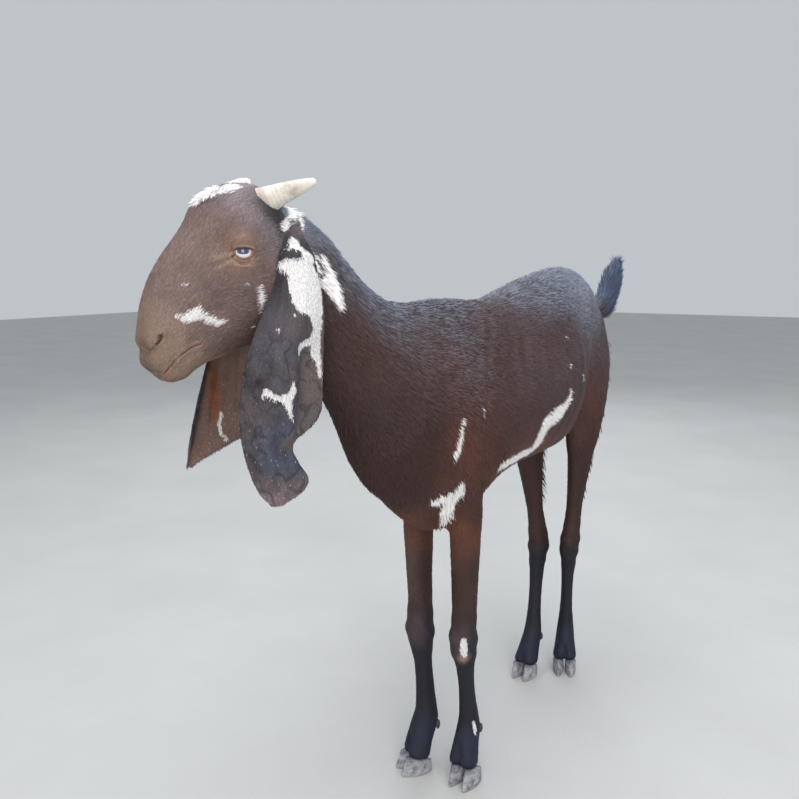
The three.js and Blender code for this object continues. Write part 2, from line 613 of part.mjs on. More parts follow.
for (const [name, leg] of Object.entries(LEGS)) {
  const fore = leg.kind === 'fore';
  const girths = fore ? FORE_GIRTHS : HIND_GIRTHS;
  const cannonGirths = fore ? FORE_CANNON_GIRTHS : HIND_CANNON_GIRTHS;
  const grown = buildLegPiece(leg, girths, UPPER_RINGS, GAP, 0);
  trunk = mainPiece(trunk.subtract(grown));
  neck = mainPiece(neck.subtract(grown));
  addPart(`${name}_upper`, buildLegPiece(leg, girths, UPPER_RINGS, 0, 0), COLOURS.coat);
  addPart(`${name}_cannon`, buildLegPiece(leg, cannonGirths, CANNON_RINGS, 0, GAP), COLOURS.dark);
  addPart(`${name}_pastern`, buildLegPiece(leg, PASTERN_GIRTHS, PASTERN_RINGS, 0, GAP), COLOURS.dark);
  const pasternGrown = buildLegPiece(leg, PASTERN_GIRTHS, PASTERN_RINGS, GAP, 0);
  const cannonGrown = buildLegPiece(leg, cannonGirths, CANNON_RINGS, GAP, 0);
  for (const [word, side] of [['outer', leg.side], ['inner', -leg.side]]) {
    addPart(`${name}_hoof_${word}`, buildClaw(leg, side), COLOURS.hoof);
    const dewclaw = buildDewclaw(leg, side).subtract(pasternGrown).subtract(cannonGrown);
    addPart(`${name}_dewclaw_${word}`, mainPiece(dewclaw), COLOURS.hoof);
  }
}

for (const [word, side] of [['left', 1], ['right', -1]]) {
  head = mainPiece(head.subtract(buildEye(side, GAP)));
  addPart(`eye_${word}`, buildEye(side, 0), COLOURS.eye);
  const hornRings = buildHorn(side, HORN_AT[word]);
  addPart(`horn_${word}`, mainPiece(inHead(loft(hornRings)).subtract(headGrown)), COLOURS.horn);
  addPart(`ear_${word}`, mainPiece(toSolid(buildEar(EARS[word])).subtract(headGrown).subtract(torso.neckGrown)), COLOURS.coat);
}
addPart('head', head, COLOURS.coat);
addPart('neck', neck, COLOURS.coat);
addPart('tail', mainPiece(buildTail().subtract(torso.trunkGrown)), COLOURS.dark);
addPart('trunk', trunk, COLOURS.coat);

/** Put the middle of the whole box over the origin, with the soles on the floor. */
function standOnOrigin(whole) {
  const box = new THREE.Box3().setFromObject(whole);
  const middle = box.getCenter(new THREE.Vector3());
  whole.children.forEach((mesh) => mesh.geometry.translate(-middle.x, -middle.y, -box.min.z));
}

standOnOrigin(group);

export default group;
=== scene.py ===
"""A tall long-eared goat standing still: one skin, a coat of fine tufts, eyes, horns and hooves."""

import math

import bmesh
import bpy
import numpy as np
import openvdb
from mathutils import Matrix, Vector, kdtree


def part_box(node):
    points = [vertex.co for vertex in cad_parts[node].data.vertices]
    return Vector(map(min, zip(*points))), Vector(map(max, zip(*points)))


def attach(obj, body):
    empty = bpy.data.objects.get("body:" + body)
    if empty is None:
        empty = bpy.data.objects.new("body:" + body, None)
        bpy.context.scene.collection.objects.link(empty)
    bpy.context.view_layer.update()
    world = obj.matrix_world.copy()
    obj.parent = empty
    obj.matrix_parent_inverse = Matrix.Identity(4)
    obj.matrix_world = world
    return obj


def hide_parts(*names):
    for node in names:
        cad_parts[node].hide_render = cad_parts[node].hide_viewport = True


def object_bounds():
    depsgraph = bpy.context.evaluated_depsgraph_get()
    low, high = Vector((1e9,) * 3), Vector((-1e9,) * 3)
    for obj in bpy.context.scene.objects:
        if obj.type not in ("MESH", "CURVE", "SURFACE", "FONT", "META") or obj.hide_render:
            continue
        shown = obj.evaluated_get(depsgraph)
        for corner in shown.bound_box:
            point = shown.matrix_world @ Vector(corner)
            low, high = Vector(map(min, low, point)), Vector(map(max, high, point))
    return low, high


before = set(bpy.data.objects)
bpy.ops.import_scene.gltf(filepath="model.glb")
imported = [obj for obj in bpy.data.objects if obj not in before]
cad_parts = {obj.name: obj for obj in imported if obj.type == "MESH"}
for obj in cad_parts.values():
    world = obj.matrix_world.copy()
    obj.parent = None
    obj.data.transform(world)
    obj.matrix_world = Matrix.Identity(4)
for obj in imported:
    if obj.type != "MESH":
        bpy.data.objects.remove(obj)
cad_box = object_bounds()

MM = 0.001
radians = math.radians

# ================================================================ the head's own frame
# side: to the goat's left; along: from the poll to the muzzle; rise: towards the forehead
HEAD_TURN = radians(12)
HEAD_PITCH = radians(46)
EYE_PLACE = np.array([47.5, 80.0, -23.5]) * MM
EYE_RADIUS = 14 * MM


def turned(axis, angle):
    """Rotation matrix about x, y or z as an array."""
    return np.array(Matrix.Rotation(angle, 3, axis))


HEAD_AXES = turned("Z", -HEAD_TURN) @ turned("X", HEAD_PITCH) @ np.diag([1.0, -1.0, 1.0])


def middle(node):
    low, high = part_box(node)
    return np.array((low + high) / 2)


HEAD_POLL = (middle("eye_left") + middle("eye_right")) / 2 - HEAD_AXES @ (EYE_PLACE * [0, 1, 1])


def from_head(points):
    """Points in the head's frame, metres, to the goat's frame."""
    return np.asarray(points, float) @ HEAD_AXES.T + HEAD_POLL


def to_head(points):
    return (np.asarray(points, float) - HEAD_POLL) @ HEAD_AXES


# ================================================================ small number helpers
def smooth(value, low, high):
    """0 below low, 1 above high, eased between. Works with high below low."""
    t = np.clip((value - low) / (high - low), 0, 1)
    return t * t * (3 - 2 * t)


def bell(value, middle, width):
    """1 at the middle, fading to both sides."""
    return np.exp(-(((value - middle) / width) ** 2))


def bells(*terms):
    """1 where every value is at its middle: each term is value, middle, width."""
    return np.exp(-sum(((value - middle) / width) ** 2 for value, middle, width in terms))


def unit(vectors):
    return vectors / np.maximum(np.linalg.norm(vectors, axis=-1, keepdims=True), 1e-9)


def across_skin(vectors, normals):
    """The part of each vector that lies in the skin, as a unit vector."""
    return unit(vectors - normals * (vectors * normals).sum(1, keepdims=True))


def wander(points, size, seed, count=7):
    """Smooth random waves about a given size across, from -1 to 1."""
    dice = np.random.default_rng(seed)
    total = np.zeros(len(points))
    for _ in range(count):
        direction = unit(dice.normal(size=3)) * 2 * math.pi / size * dice.uniform(0.6, 1.5)
        total += np.sin(points @ direction + dice.uniform(0, 2 * math.pi))
    return total / count ** 0.5 / 1.4


def chain_distance(points, chain):
    """Distance to a string of balls joined up: each ball is x, y, z, radius."""
    chain = np.asarray(chain, float)
    if len(chain) == 1:
        return np.linalg.norm(points - chain[0, :3], axis=1) - chain[0, 3]
    best = np.full(len(points), 1e3)
    for start, end in zip(chain[:-1], chain[1:]):
        run = end[:3] - start[:3]
        t = np.clip((points - start[:3]) @ run / max(run @ run, 1e-12), 0, 1)
        gap = np.linalg.norm(points - start[:3] - t[:, None] * run, axis=1)
        best = np.minimum(best, gap - (start[3] + (end[3] - start[3]) * t))
    return best


# ================================================================ skin: fields and meshes
BODY_STEP = 5.8 * MM
HEAD_STEP = 2.5 * MM
BAND = 40 * MM
NECK_CUT = np.array([-22.0, -399.0, 886.0]) * MM
NECK_WAY = unit(np.array([-0.20, -0.80, 0.56]))
TUCK = 0.35  # how steeply each skin dives under the other past the neck's join

LEGS = {
    "fore_left": [(82, -182, 745), (82, -120, 520), (76, -117, 275), (75, -94, 96), (75, -115, 25)],
    "fore_right": [(-22, -186, 745), (-25, -110, 520), (-13, -122, 278), (-3, -119, 96), (-13, -138, 25)],
    "hind_left": [(72, 432, 815), (73, 420, 590), (60, 376, 300), (55, 379, 88), (64, 359, 25)],
    "hind_right": [(-12, 416, 815), (-14, 302, 590), (-4, 348, 294), (0, 320, 88), (-2, 290, 25)],
}
LEGS = {name: np.array(joints, float) * MM for name, joints in LEGS.items()}
FOOT_TURNS = {"fore_right": -32, "hind_left": 25}  # degrees about the leg
FLESH = ["trunk", "neck", "head", "tail", "ear_left", "ear_right"]
for leg_name in LEGS:
    FLESH += [f"{leg_name}_upper", f"{leg_name}_cannon", f"{leg_name}_pastern"]


class Block:
    """A box of evenly spaced numbers: the signed distance to a surface."""

    def __init__(self, low, high, step):
        self.low, self.step = np.array(low, float), step
        self.counts = np.ceil((np.array(high) - self.low) / step).astype(int) + 1

    def axes(self):
        """x, y, z of every sample, ready to broadcast."""
        lines = [self.low[k] + self.step * np.arange(self.counts[k]) for k in range(3)]
        return lines[0][:, None, None], lines[1][None, :, None], lines[2][None, None, :]

    def transform(self):
        rows = np.eye(4) * self.step
        rows[3] = [*self.low, 1]
        return openvdb.createLinearTransform(rows.tolist())

    def distance(self, points, triangles=None, quads=None):
        grid = openvdb.FloatGrid.createLevelSetFromPolygons(
            points.astype(np.float32), triangles=triangles, quads=quads,
            transform=self.transform(), halfWidth=BAND / self.step,
        )
        values = np.full(self.counts, BAND, np.float32)
        grid.copyToArray(values)
        return values

    def surface(self, values, level=0.0):
        """Closed quads where the field crosses a level."""
        grid = openvdb.FloatGrid(float(BAND))
        grid.copyFromArray(np.ascontiguousarray(values, np.float32))
        grid.transform = self.transform()
        return grid.convertToQuads(level)


def node_triangles(names):
    """Welded points and triangles of some CAD nodes together."""
    points, faces, total = [], [], 0
    for name in names:
        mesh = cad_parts[name].data
        mesh.calc_loop_triangles()
        co = np.empty(len(mesh.vertices) * 3, np.float32)
        mesh.vertices.foreach_get("co", co)
        tri = np.empty(len(mesh.loop_triangles) * 3, np.int32)
        mesh.loop_triangles.foreach_get("vertices", tri)
        points.append(co.reshape(-1, 3))
        faces.append(tri.reshape(-1, 3) + total)
        total += len(mesh.vertices)
    points = np.concatenate(points)
    keys, back = np.unique(np.round(points, 6), axis=0, return_inverse=True)
    faces = back.ravel()[np.concatenate(faces)].astype(np.uint32)
    return keys, faces


def solid_field(block, names, close=0.5 * MM):
    """Distance to several nodes as one body: the hairline gaps between them are closed."""
    points, faces = node_triangles(names)
    rough = block.distance(points, triangles=faces)
    points, quads = block.surface(rough, close)
    return block.distance(points, quads=quads) + close


def blurred(values, sigma):
    """Gaussian blur, sigma in samples."""
    reach = int(math.ceil(2.5 * sigma))
    weights = np.exp(-0.5 * (np.arange(-reach, reach + 1) / sigma) ** 2)
    weights /= weights.sum()
    for axis in range(3):
        pad = [(0, 0)] * 3
        pad[axis] = (reach, reach)
        wide = np.pad(values, pad, mode="edge")
        values = np.zeros_like(values)
        size = values.shape[axis]
        for n, weight in enumerate(weights):
            part = [slice(None)] * 3
            part[axis] = slice(n, n + size)
            values += np.float32(weight) * wide[tuple(part)]
    return values


def melted(a, b, reach):
    """Union of two fields with a fillet about a quarter of reach deep."""
    near = np.maximum(reach - np.abs(a - b), 0) / reach
    return np.minimum(a, b) - near * near * reach / 4


def past_neck_cut(x, y, z):
    """Distance past the neck's join, towards the head."""
    return (x - NECK_CUT[0]) * NECK_WAY[0] + (y - NECK_CUT[1]) * NECK_WAY[1] + (z - NECK_CUT[2]) * NECK_WAY[2]


def body_surface():
    """Trunk, neck, legs and the core of the tail."""
    low, high = np.array(cad_box[0]), np.array(cad_box[1])
    low, high = low - 0.012, high + 0.012
    low[1] = -0.50
    block = Block(low, high, BODY_STEP)
    names = ["trunk", "neck"] + [n for n in FLESH if n.split("_")[0] in ("fore", "hind")]
    field = solid_field(block, names)
    x, y, z = block.axes()
    soft = blurred(field, 9 * MM / BODY_STEP)
    fine = blurred(field, 3.2 * MM / BODY_STEP)
    share = smooth(z, 0.44, 0.60)
    field = fine + (soft - fine) * share
    depth = 0.4 * MM + 2.4 * MM * smooth(z, 0.30, 0.60)
    field += depth.astype(np.float32)
    tail = blurred(solid_field(block, ["trunk", "tail"]), 2.6 * MM / BODY_STEP) + 7 * MM
    field = melted(field, tail, 10 * MM)
    past = past_neck_cut(x, y, z)
    field = field + TUCK * np.maximum(past, 0)
    field = np.maximum(field, past - 20 * MM)
    return block.surface(field)


def head_surface():
    """The head with the top of the neck, more finely."""
    block = Block((-0.130, -0.662, 0.735), (0.070, -0.330, 1.062), HEAD_STEP)
    head = blurred(solid_field(block, ["head", "eye_left", "eye_right"]), 2.6 * MM / HEAD_STEP)
    neck = blurred(solid_field(block, ["neck"]), 5 * MM / HEAD_STEP)
    field = melted(head, neck, 16 * MM)
    x, y, z = block.axes()
    past = past_neck_cut(x, y, z)
    field += 1.1 * MM + 1.5 * MM * smooth(past, 0.09, 0.03).astype(np.float32)
    field = field + TUCK * np.maximum(-past, 0)
    field = np.maximum(field, -past - 22 * MM)
    return block.surface(field)


def mesh_object(name, points, faces):
    mesh = bpy.data.meshes.new(name)
    faces = faces if isinstance(faces, list) else faces.tolist()
    mesh.from_pydata(np.asarray(points, float).tolist(), [], faces)
    mesh.validate()
    piece = bpy.data.objects.new(name, mesh)
    bpy.context.scene.collection.objects.link(piece)
    return piece


def drop(piece):
    mesh = piece.data
    bpy.data.objects.remove(piece)
    bpy.data.meshes.remove(mesh)


def face_outwards(piece):
    """Turn a closed mesh's faces outwards."""
    work = bmesh.new()
    work.from_mesh(piece.data)
    if work.calc_volume(signed=True) < 0:
        bmesh.ops.reverse_faces(work, faces=work.faces)
    work.to_mesh(piece.data)
    work.free()


def settled(piece):
    """The mesh with its modifiers applied."""
    graph = bpy.context.evaluated_depsgraph_get()
    mesh = bpy.data.meshes.new_from_object(
        piece.evaluated_get(graph), preserve_all_data_layers=True, depsgraph=graph)
    piece.modifiers.clear()
    old = piece.data
    piece.data = mesh
    bpy.data.meshes.remove(old)
    return mesh


def join_solids(main, others):
    """Union of closed meshes into the first one."""
    for other in others:
        cut = main.modifiers.new("join", "BOOLEAN")
        cut.operation, cut.solver, cut.object = "UNION", "MANIFOLD", other
        settled(main)
        drop(other)


# ================================================================ ears
# reaches towards the front and rear edges at shares of the length, millimetres
EAR_OUTLINES = {
    "left": [
        (0.0, 14, 14), (0.06, 20, 25), (0.16, 30, 34), (0.28, 45, 41), (0.4, 61, 42),
        (0.52, 71, 42), (0.62, 75, 42), (0.66, 75, 40), (0.71, 73, 28), (0.77, 69, 2),
        (0.84, 62, 11), (0.91, 52, 26), (0.96, 41, 17), (1.0, 27, -6),
    ],
    "right": [
        (0.0, 14, 14), (0.1, 23, 28), (0.25, 33, 38), (0.45, 50, 44), (0.65, 62, 46), (0.8, 69, 42),
        (0.88, 71, 30), (0.94, 71, -16), (1.0, 69, -55),
    ],
}
EARS = {
    "left": dict(
        side=1, length=370, root=(45, 8, -60), swing=25, forward=0, outward=2, flare=16, sway=16, fold=12),
    "right": dict(
        side=-1, length=345, root=(45, 4, -60), swing=2, forward=3, outward=10, flare=8, sway=12, fold=0),
}
EAR_BOW = 20
EAR_ROWS, EAR_COLUMNS = 84, 34


def curve_through(table, share):
    """Smooth curve through rows of a table whose first column is the share."""
    table = np.array(table, float)
    index = np.interp(share, table[:, 0], np.arange(len(table)))
    k = np.minimum(index.astype(int), len(table) - 2)
    t = (index - k)[:, None]
    pick = lambda i: table[np.clip(i, 0, len(table) - 1), 1:]
    a, b, c, d = pick(k - 1), pick(k), pick(k + 1), pick(k + 2)
    return ((2 * t**3 - 3 * t**2 + 1) * b + (t**3 - 2 * t**2 + t) * (c - a) / 2
            + (3 * t**2 - 2 * t**3) * c + (t**3 - t**2) * (d - b) / 2)


def ear_relief(side, u, t, outer):
    """Soft folds, cords and creases of the ear's sheet, in millimetres outwards."""
    folds = 2.2 * np.sin(9 * u + 5 * t + side) * np.sin(math.pi * t) * smooth(t, 0.1, 0.4)
    cords = np.zeros_like(u)
    for start, slant, wave in ((0.30, 0.10, 0.0), (0.46, -0.05, 1.3), (0.62, 0.12, 2.1), (0.20, 0.22, 4.0)):
        line = start + slant * t + 0.035 * np.sin(7 * t + wave)
        cords += bell(u, line, 0.028) * smooth(t, 0.08, 0.25) * smooth(t, 0.95, 0.7)
    points = np.stack([u.ravel() * 110, t.ravel() * 360, np.full(u.size, side * 50.0)], 1)
    creases = np.abs(wander(points, 26, 11, 9)).reshape(u.shape)
    creases = bell(creases, 0, 0.16) * smooth(t, 0.35, 0.6) * (0.4 + 0.6 * smooth(u, 0.7, 0.2))
    if outer:
        return folds + 1.3 * cords - 2.0 * creases
    return folds + (1.8 if side < 0 else 0.3) * cords - 0.4 * creases


def ear_mesh(word):
    ear = EARS[word]
    rows = np.linspace(-0.05, 1, EAR_ROWS)
    rows = np.where(rows > 0.9, 0.9 + 0.1 * np.sin((rows - 0.9) / 0.1 * math.pi / 2), rows)
    t = np.clip(rows, 0, 1)
    reach = curve_through(EAR_OUTLINES[word], t) - 1.4 * smooth(t, 0.02, 0.2)[:, None]
    u = 0.5 - 0.5 * np.cos(np.linspace(0, math.pi, EAR_COLUMNS))
    u = 0.35 * u + 0.65 * np.linspace(0, 1, EAR_COLUMNS)
    u, t, rows = u[None, :] + 0 * t[:, None], t[:, None] + 0 * u[None, :], rows[:, None]
    y = -reach[:, :1] + (reach[:, :1] + reach[:, 1:]) * u
    fold = smooth(t, 0.28, 0.5) * smooth(t, 0.84, 0.72)
    bow = EAR_BOW * (1 - (2 * u - 1) ** 2) * np.sin(math.pi * (0.15 + 0.8 * t))
    tuck = fold * ear["fold"] * smooth(y, -2, 4)
    curl = 0.0 if word == "left" else 5 * smooth(u, 0.16, 0.0) * smooth(t, 0.2, 0.5)
    x = bow - tuck - curl + ear["flare"] * np.sin(math.pi * np.minimum(1, 0.25 + 0.75 * t))
    edge = np.sqrt(np.maximum(1 - np.abs(2 * u - 1) ** 14, 0.04))
    tip = np.sqrt(np.maximum(1 - t**60, 0.04))
    thick = (1.5 + 1.3 * np.sin(math.pi * u) + 9 * np.exp(-((rows + 0.05) / 0.06) ** 2)) * edge * tip
    dive = smooth(rows, 0.10, -0.05)
    sheets = []
    for outer in (True, False):
        lift = x + ear_relief(ear["side"], u, t, outer) + (thick / 2 if outer else -thick / 2)
        sheets.append(np.stack([
            lift - 26 * dive, y - ear["sway"] * t * t, -ear["length"] * rows + 6 * dive + 0 * u,
        ], -1))
    points = np.concatenate([s.reshape(-1, 3) for s in sheets])
    points = points @ turned("Y", radians(-ear["outward"])).T
    points = points @ turned("X", radians(-ear["forward"])).T
    points = points @ turned("Z", radians(-ear["swing"])).T
    points = (points * [ear["side"], 1, 1]) @ turned("Z", -HEAD_TURN).T
    root = from_head(np.array(ear["root"]) * [ear["side"], 1, 1] * MM)
    points = points * MM + root
    wide, deep = EAR_COLUMNS, EAR_ROWS
    at = lambda r, c, inner: inner * wide * deep + r * wide + c
    faces = []
    for r in range(deep - 1):
        for c in range(wide - 1):
            faces.append([at(r, c, 0), at(r, c + 1, 0), at(r + 1, c + 1, 0), at(r + 1, c, 0)])
            faces.append([at(r, c, 1), at(r + 1, c, 1), at(r + 1, c + 1, 1), at(r, c + 1, 1)])
        faces.append([at(r, 0, 0), at(r + 1, 0, 0), at(r + 1, 0, 1), at(r, 0, 1)])
        faces.append([at(r, wide - 1, 0), at(r, wide - 1, 1), at(r + 1, wide - 1, 1), at(r + 1, wide - 1, 0)])
    for c in range(wide - 1):
        faces.append([at(0, c, 0), at(0, c, 1), at(0, c + 1, 1), at(0, c + 1, 0)])
        last = deep - 1
        faces.append([at(last, c, 0), at(last, c + 1, 0), at(last, c + 1, 1), at(last, c, 1)])
    piece = mesh_object("ear_" + word, points, faces)
    face_outwards(piece)
    grid = points.reshape(2, deep, wide, 3)
    return piece, grid


# ================================================================ skin: joined, refined and sculpted
EYE_LOOK = unit(np.array([0.883, 0.326, 0.338]))
NOSTRIL = [(26, 228, -16.5), (25.4, 232, -18.7), (22.8, 237, -20)]
NOSE_CREASE = [(22.8, 237, -20), (17.3, 244.5, -21.3), (10.4, 249, -24.3), (3, 252, -30), (0, 253, -37)]
MOUTH = [(0, 259, -58), (8, 257, -56), (18.3, 254.7, -52.5), (24, 249.5, -50.5), (28.5, 240, -50),
         (30, 230, -51), (28.4, 215, -55.4), (28.8, 201, -62.7)]
TEAR_FOLD = [(9.8, -2, 0, 0), (14, -5, 0, 0), (20, -9, 0, 0), (26, -12, 0, 0)]
# muscle and bone under the skin: place, radius and height, millimetres
SWELLS = [
    (105, 372, 868, 26, 4.5), (-38, 352, 868, 26, 4.5), (80, 498, 800, 20, 4), (-8, 494, 800, 20, 4),
    (100, -262, 700, 34, 4), (-35, -262, 700, 34, 4), (100, -150, 800, 40, 2.5), (-30, -150, 800, 40, 2.5),
    (118, -95, 565, 24, 3), (-60, -90, 565, 24, 3), (132, 275, 800, 60, -6), (-70, 255, 800, 60, -6),
    (108, 345, 640, 34, 3), (-50, 240, 640, 34, 3), (125, -40, 760, 40, -3), (-60, -40, 760, 40, -3),
]


def mesh_arrays(mesh):
    points = np.empty(len(mesh.vertices) * 3)
    mesh.vertices.foreach_get("co", points)
    normals = np.empty(len(mesh.vertices) * 3)
    mesh.vertices.foreach_get("normal", normals)
    edges = np.empty(len(mesh.edges) * 2, int)
    mesh.edges.foreach_get("vertices", edges)
    return points.reshape(-1, 3), normals.reshape(-1, 3), edges.reshape(-1, 2)


def set_points(mesh, points):
    mesh.vertices.foreach_set("co", np.ascontiguousarray(points, float).ravel())
    mesh.update()


def neighbour_mean(values, edges, count):
    """The mean of each point's neighbours."""
    ends = np.concatenate([edges[:, 0], edges[:, 1]])
    others = np.concatenate([edges[:, 1], edges[:, 0]])
    many = np.maximum(np.bincount(ends, minlength=count), 1)
    columns = values.reshape(count, -1)
    total = [np.bincount(ends, weights=columns[others, k], minlength=count) for k in range(columns.shape[1])]
    return (np.stack(total, 1) / many[:, None]).reshape(values.shape)


def eased(values, edges, rounds, share=1.0):
    """Values spread over the skin; share is how much of the mean each point takes."""
    share = np.broadcast_to(share, len(values))
    if values.ndim > 1:
        share = share[:, None]
    for _ in range(rounds):
        values = values + share * (neighbour_mean(values, edges, len(values)) - values)
    return values


def keep_main_part(work):
    """Deletes stray shells left inside a joined skin."""
    work.verts.ensure_lookup_table()
    seen = np.zeros(len(work.verts), bool)
    groups = []
    for seed in work.verts:
        if seen[seed.index]:
            continue
        seen[seed.index] = True
        group, front = [seed], [seed]
        while front:
            vertex = front.pop()
            for edge in vertex.link_edges:
                other = edge.other_vert(vertex)
                if not seen[other.index]:
                    seen[other.index] = True
                    group.append(other)
                    front.append(other)
        groups.append(group)
    groups.sort(key=len)
    for group in groups[:-1]:
        bmesh.ops.delete(work, geom=group, context="VERTS")


def eye_axes(side):
    """An eye's middle, then its gaze, forward and upward directions."""
    centre = from_head(EYE_PLACE * [side, 1, 1])
    gaze = HEAD_AXES @ (EYE_LOOK * [side, 1, 1])
    ahead = unit(np.cross([0, 0, side], gaze))
    up = unit(np.cross(gaze, ahead))
    if (HEAD_AXES @ [0, 1, 0]) @ ahead < 0:
        ahead = -ahead
    return centre, gaze, ahead, up if up[2] > 0 else -up


def eye_coordinates(points, side):
    """Distance and way from the eye's middle, the way's share along the gaze, and millimetres ahead and up:
    first of the point itself, then of where its way leaves a ball of 14 mm."""
    centre, gaze, ahead, up = eye_axes(side)
    offset = points - centre
    reach = np.linalg.norm(offset, axis=1)
    way = offset / np.maximum(reach, 1e-6)[:, None]
    return reach, way, way @ gaze, offset @ ahead / MM, offset @ up / MM, way @ ahead * 14, way @ up * 14


def lid_gap(ahead, up):
    """Millimetres outside the opening between the lids, and past the upper and lower lid's edge."""
    above = up - (4.8 - 0.02 * ahead**2)
    below = (np.hypot(ahead / 9.7, np.minimum(up - 0.8, 0) / 7.1) - 1) * 7.1
    return np.maximum(above, below), above, below


def fine_places(points, reach_scale):
    """Where the face needs a finer mesh."""
    wanted = np.zeros(len(points), bool)
    head = to_head(points) / MM
    for side in (1, -1):
        reach, _, out, _, _, a, b = eye_coordinates(points, side)
        gap = lid_gap(a, b)[0]
        if reach_scale > 1:
            wanted |= (reach < 34 * MM) & (out > 0.1)
        else:
            wanted |= (reach < 22 * MM) & (out > 0.2) & (gap < 3) & (gap > -2.2)
        nose = np.array(NOSTRIL) * [side, 1, 1]
        wanted |= chain_distance(head, np.c_[nose, np.zeros(len(nose))]) < (10 if reach_scale > 1 else 5)
        mouth = np.array(MOUTH) * [side, 1, 1]
        wanted |= chain_distance(head, np.c_[mouth, np.zeros(len(mouth))]) < (9 if reach_scale > 1 else 3.5)
    return wanted


def refine(work, reach_scale, longest):
    points = np.array([v.co[:] for v in work.verts])
    wanted = fine_places(points, reach_scale)
    edges = [
        e for e in work.edges
        if wanted[e.verts[0].index] and wanted[e.verts[1].index] and e.calc_length() > longest
    ]
    bmesh.ops.subdivide_edges(work, edges=edges, cuts=1, use_grid_fill=True)
    bmesh.ops.triangulate(work, faces=[f for f in work.faces if len(f.verts) > 3])
    work.verts.index_update()


# side, along, rise, radius, height: upper lip, lower lip, nose wing, chin, notch under the nose
MUZZLE_SWELLS = [
    (10, 254, -34, 12, 5.4), (12, 257, -46, 11, 4.6), (15, 240, -10, 12, 1.8), (10, 252, -65, 10, 5.0),
    (6, 250, -22, 6, -3.6), (20, 248, -38, 10, 2.0), (16, 241, -13, 8, 1.8), (12, 240, -80, 12, 2.5),
]


def snapped(chain, points):
    """A chain's points moved to the nearest points of the skin."""
    found = []
    for place in from_head(np.array(chain, float) * MM):
        found.append(points[np.argmin(((points - place) ** 2).sum(1))])
    return np.c_[np.array(found), np.zeros(len(found))]


def sculpt_eyes(points):
    """Lids that wrap the eyeballs, the folds round them and the tear fold."""
    for side in (1, -1):
        centre = eye_axes(side)[0]
        reach, way, out, ahead, up, a, b = eye_coordinates(points, side)
        near = (reach < 45 * MM) & (out > 0.0)
        gap, above, below = lid_gap(a, b)
        below_far = lid_gap(ahead, up)[2]
        hold = smooth(gap, 15, 1.5) * smooth(out, 0.05, 0.35)
        lid = 15.6 + 1.1 * bell(above, 1.2, 1.3) + 0.7 * bell(below, 1.0, 1.0)
        wanted = reach / MM + (lid - reach / MM) * hold
        ring = np.hypot(ahead, up)
        fade = smooth(ring, 34, 20) * smooth(out, 0.1, 0.4)
        wide = smooth(np.abs(ahead), 20, 8)
        wanted -= 1.2 * bell(above, 4.6, 1.1) * fade * wide
        wanted += 1.7 * bell(above, 8.5, 3.2) * fade
        for place, deep in ((2.0, -0.9), (3.7, 1.1), (5.4, -1.1), (7.1, 1.0), (8.8, -0.9), (10.6, 0.7)):
            wanted += deep * bell(below_far, place, 0.9) * fade * wide * smooth(above, 0, -3)
        tear = chain_distance(np.c_[ahead, up, 0 * up], TEAR_FOLD)
        wanted += (1.0 * bell(tear, 2.6, 1.1) - 1.4 * bell(tear, 0, 1.2)) * smooth(out, 0.0, 0.3)
        wanted += (11.2 - wanted) * smooth(gap, 0.35, -0.45) * smooth(out, 0.2, 0.4)
        points[near] = centre + way[near] * (wanted[near] * MM)[:, None]


def sculpt_muzzle(points, normals):
    """Nostrils with a raised rim, the mouth's line and the lips."""
    lift = np.zeros(len(points))
    for side in (1, -1):
        for *place, radius, height in MUZZLE_SWELLS:
            gap = np.linalg.norm(to_head(points) / MM - np.array(place) * [side, 1, 1], axis=1)
            lift += height * np.exp(-((gap / radius) ** 2))
    points = points + normals * (lift * MM)[:, None]
    lift = np.zeros(len(points))
    for side in (1, -1):
        nose = snapped(np.array(NOSTRIL) * [side, 1, 1], points)
        mouth = snapped(np.array(MOUTH) * [side, 1, 1], points)
        nose[:, 3] = np.array([0.9, 0.1, -1.0]) * MM
        hole = chain_distance(points, nose) / MM
        line = chain_distance(points, mouth) / MM
        crease = chain_distance(points, snapped(np.array(NOSE_CREASE) * [side, 1, 1], points)) / MM
        lift += -7.5 * np.exp(-((np.maximum(hole, 0) / 1.5) ** 2)) + 1.4 * bell(hole, 4.4, 1.6)
        lift += -1.3 * bell(crease, 0, 1.2) * smooth(hole, 0.5, 3)
        lift += np.where(side * to_head(points)[:, 0] > 0, 1, 0) * (
            -2.4 * bell(line, 0, 1.1) + 0.7 * bell(line, 3.4, 1.6))
    return points + normals * (lift * MM)[:, None]


MIDLINE = 33
SHOULDER_LINE = [(78, -44, 842, 0), (97, -76, 807, 0), (117, -118, 746, 0), (126, -134, 682, 0),
                 (122, -130, 622, 0), (112, -105, 585, 0)]
HIP_LINE = [(80, 356, 900, 0), (97, 346, 870, 0), (110, 334, 820, 0), (120, 318, 770, 0), (118, 318, 720, 0)]


def mirrored(chain):
    return [(2 * MIDLINE - x, *rest) for x, *rest in chain]


def settled_chain(chain, spots, where):
    """A chain's balls with their middles moved to the nearest of some points."""
    chain, pool = np.array(chain, float), spots[where]
    for ball in chain:
        ball[:3] = pool[np.argmin(((pool - ball[:3]) ** 2).sum(1))]
    return chain


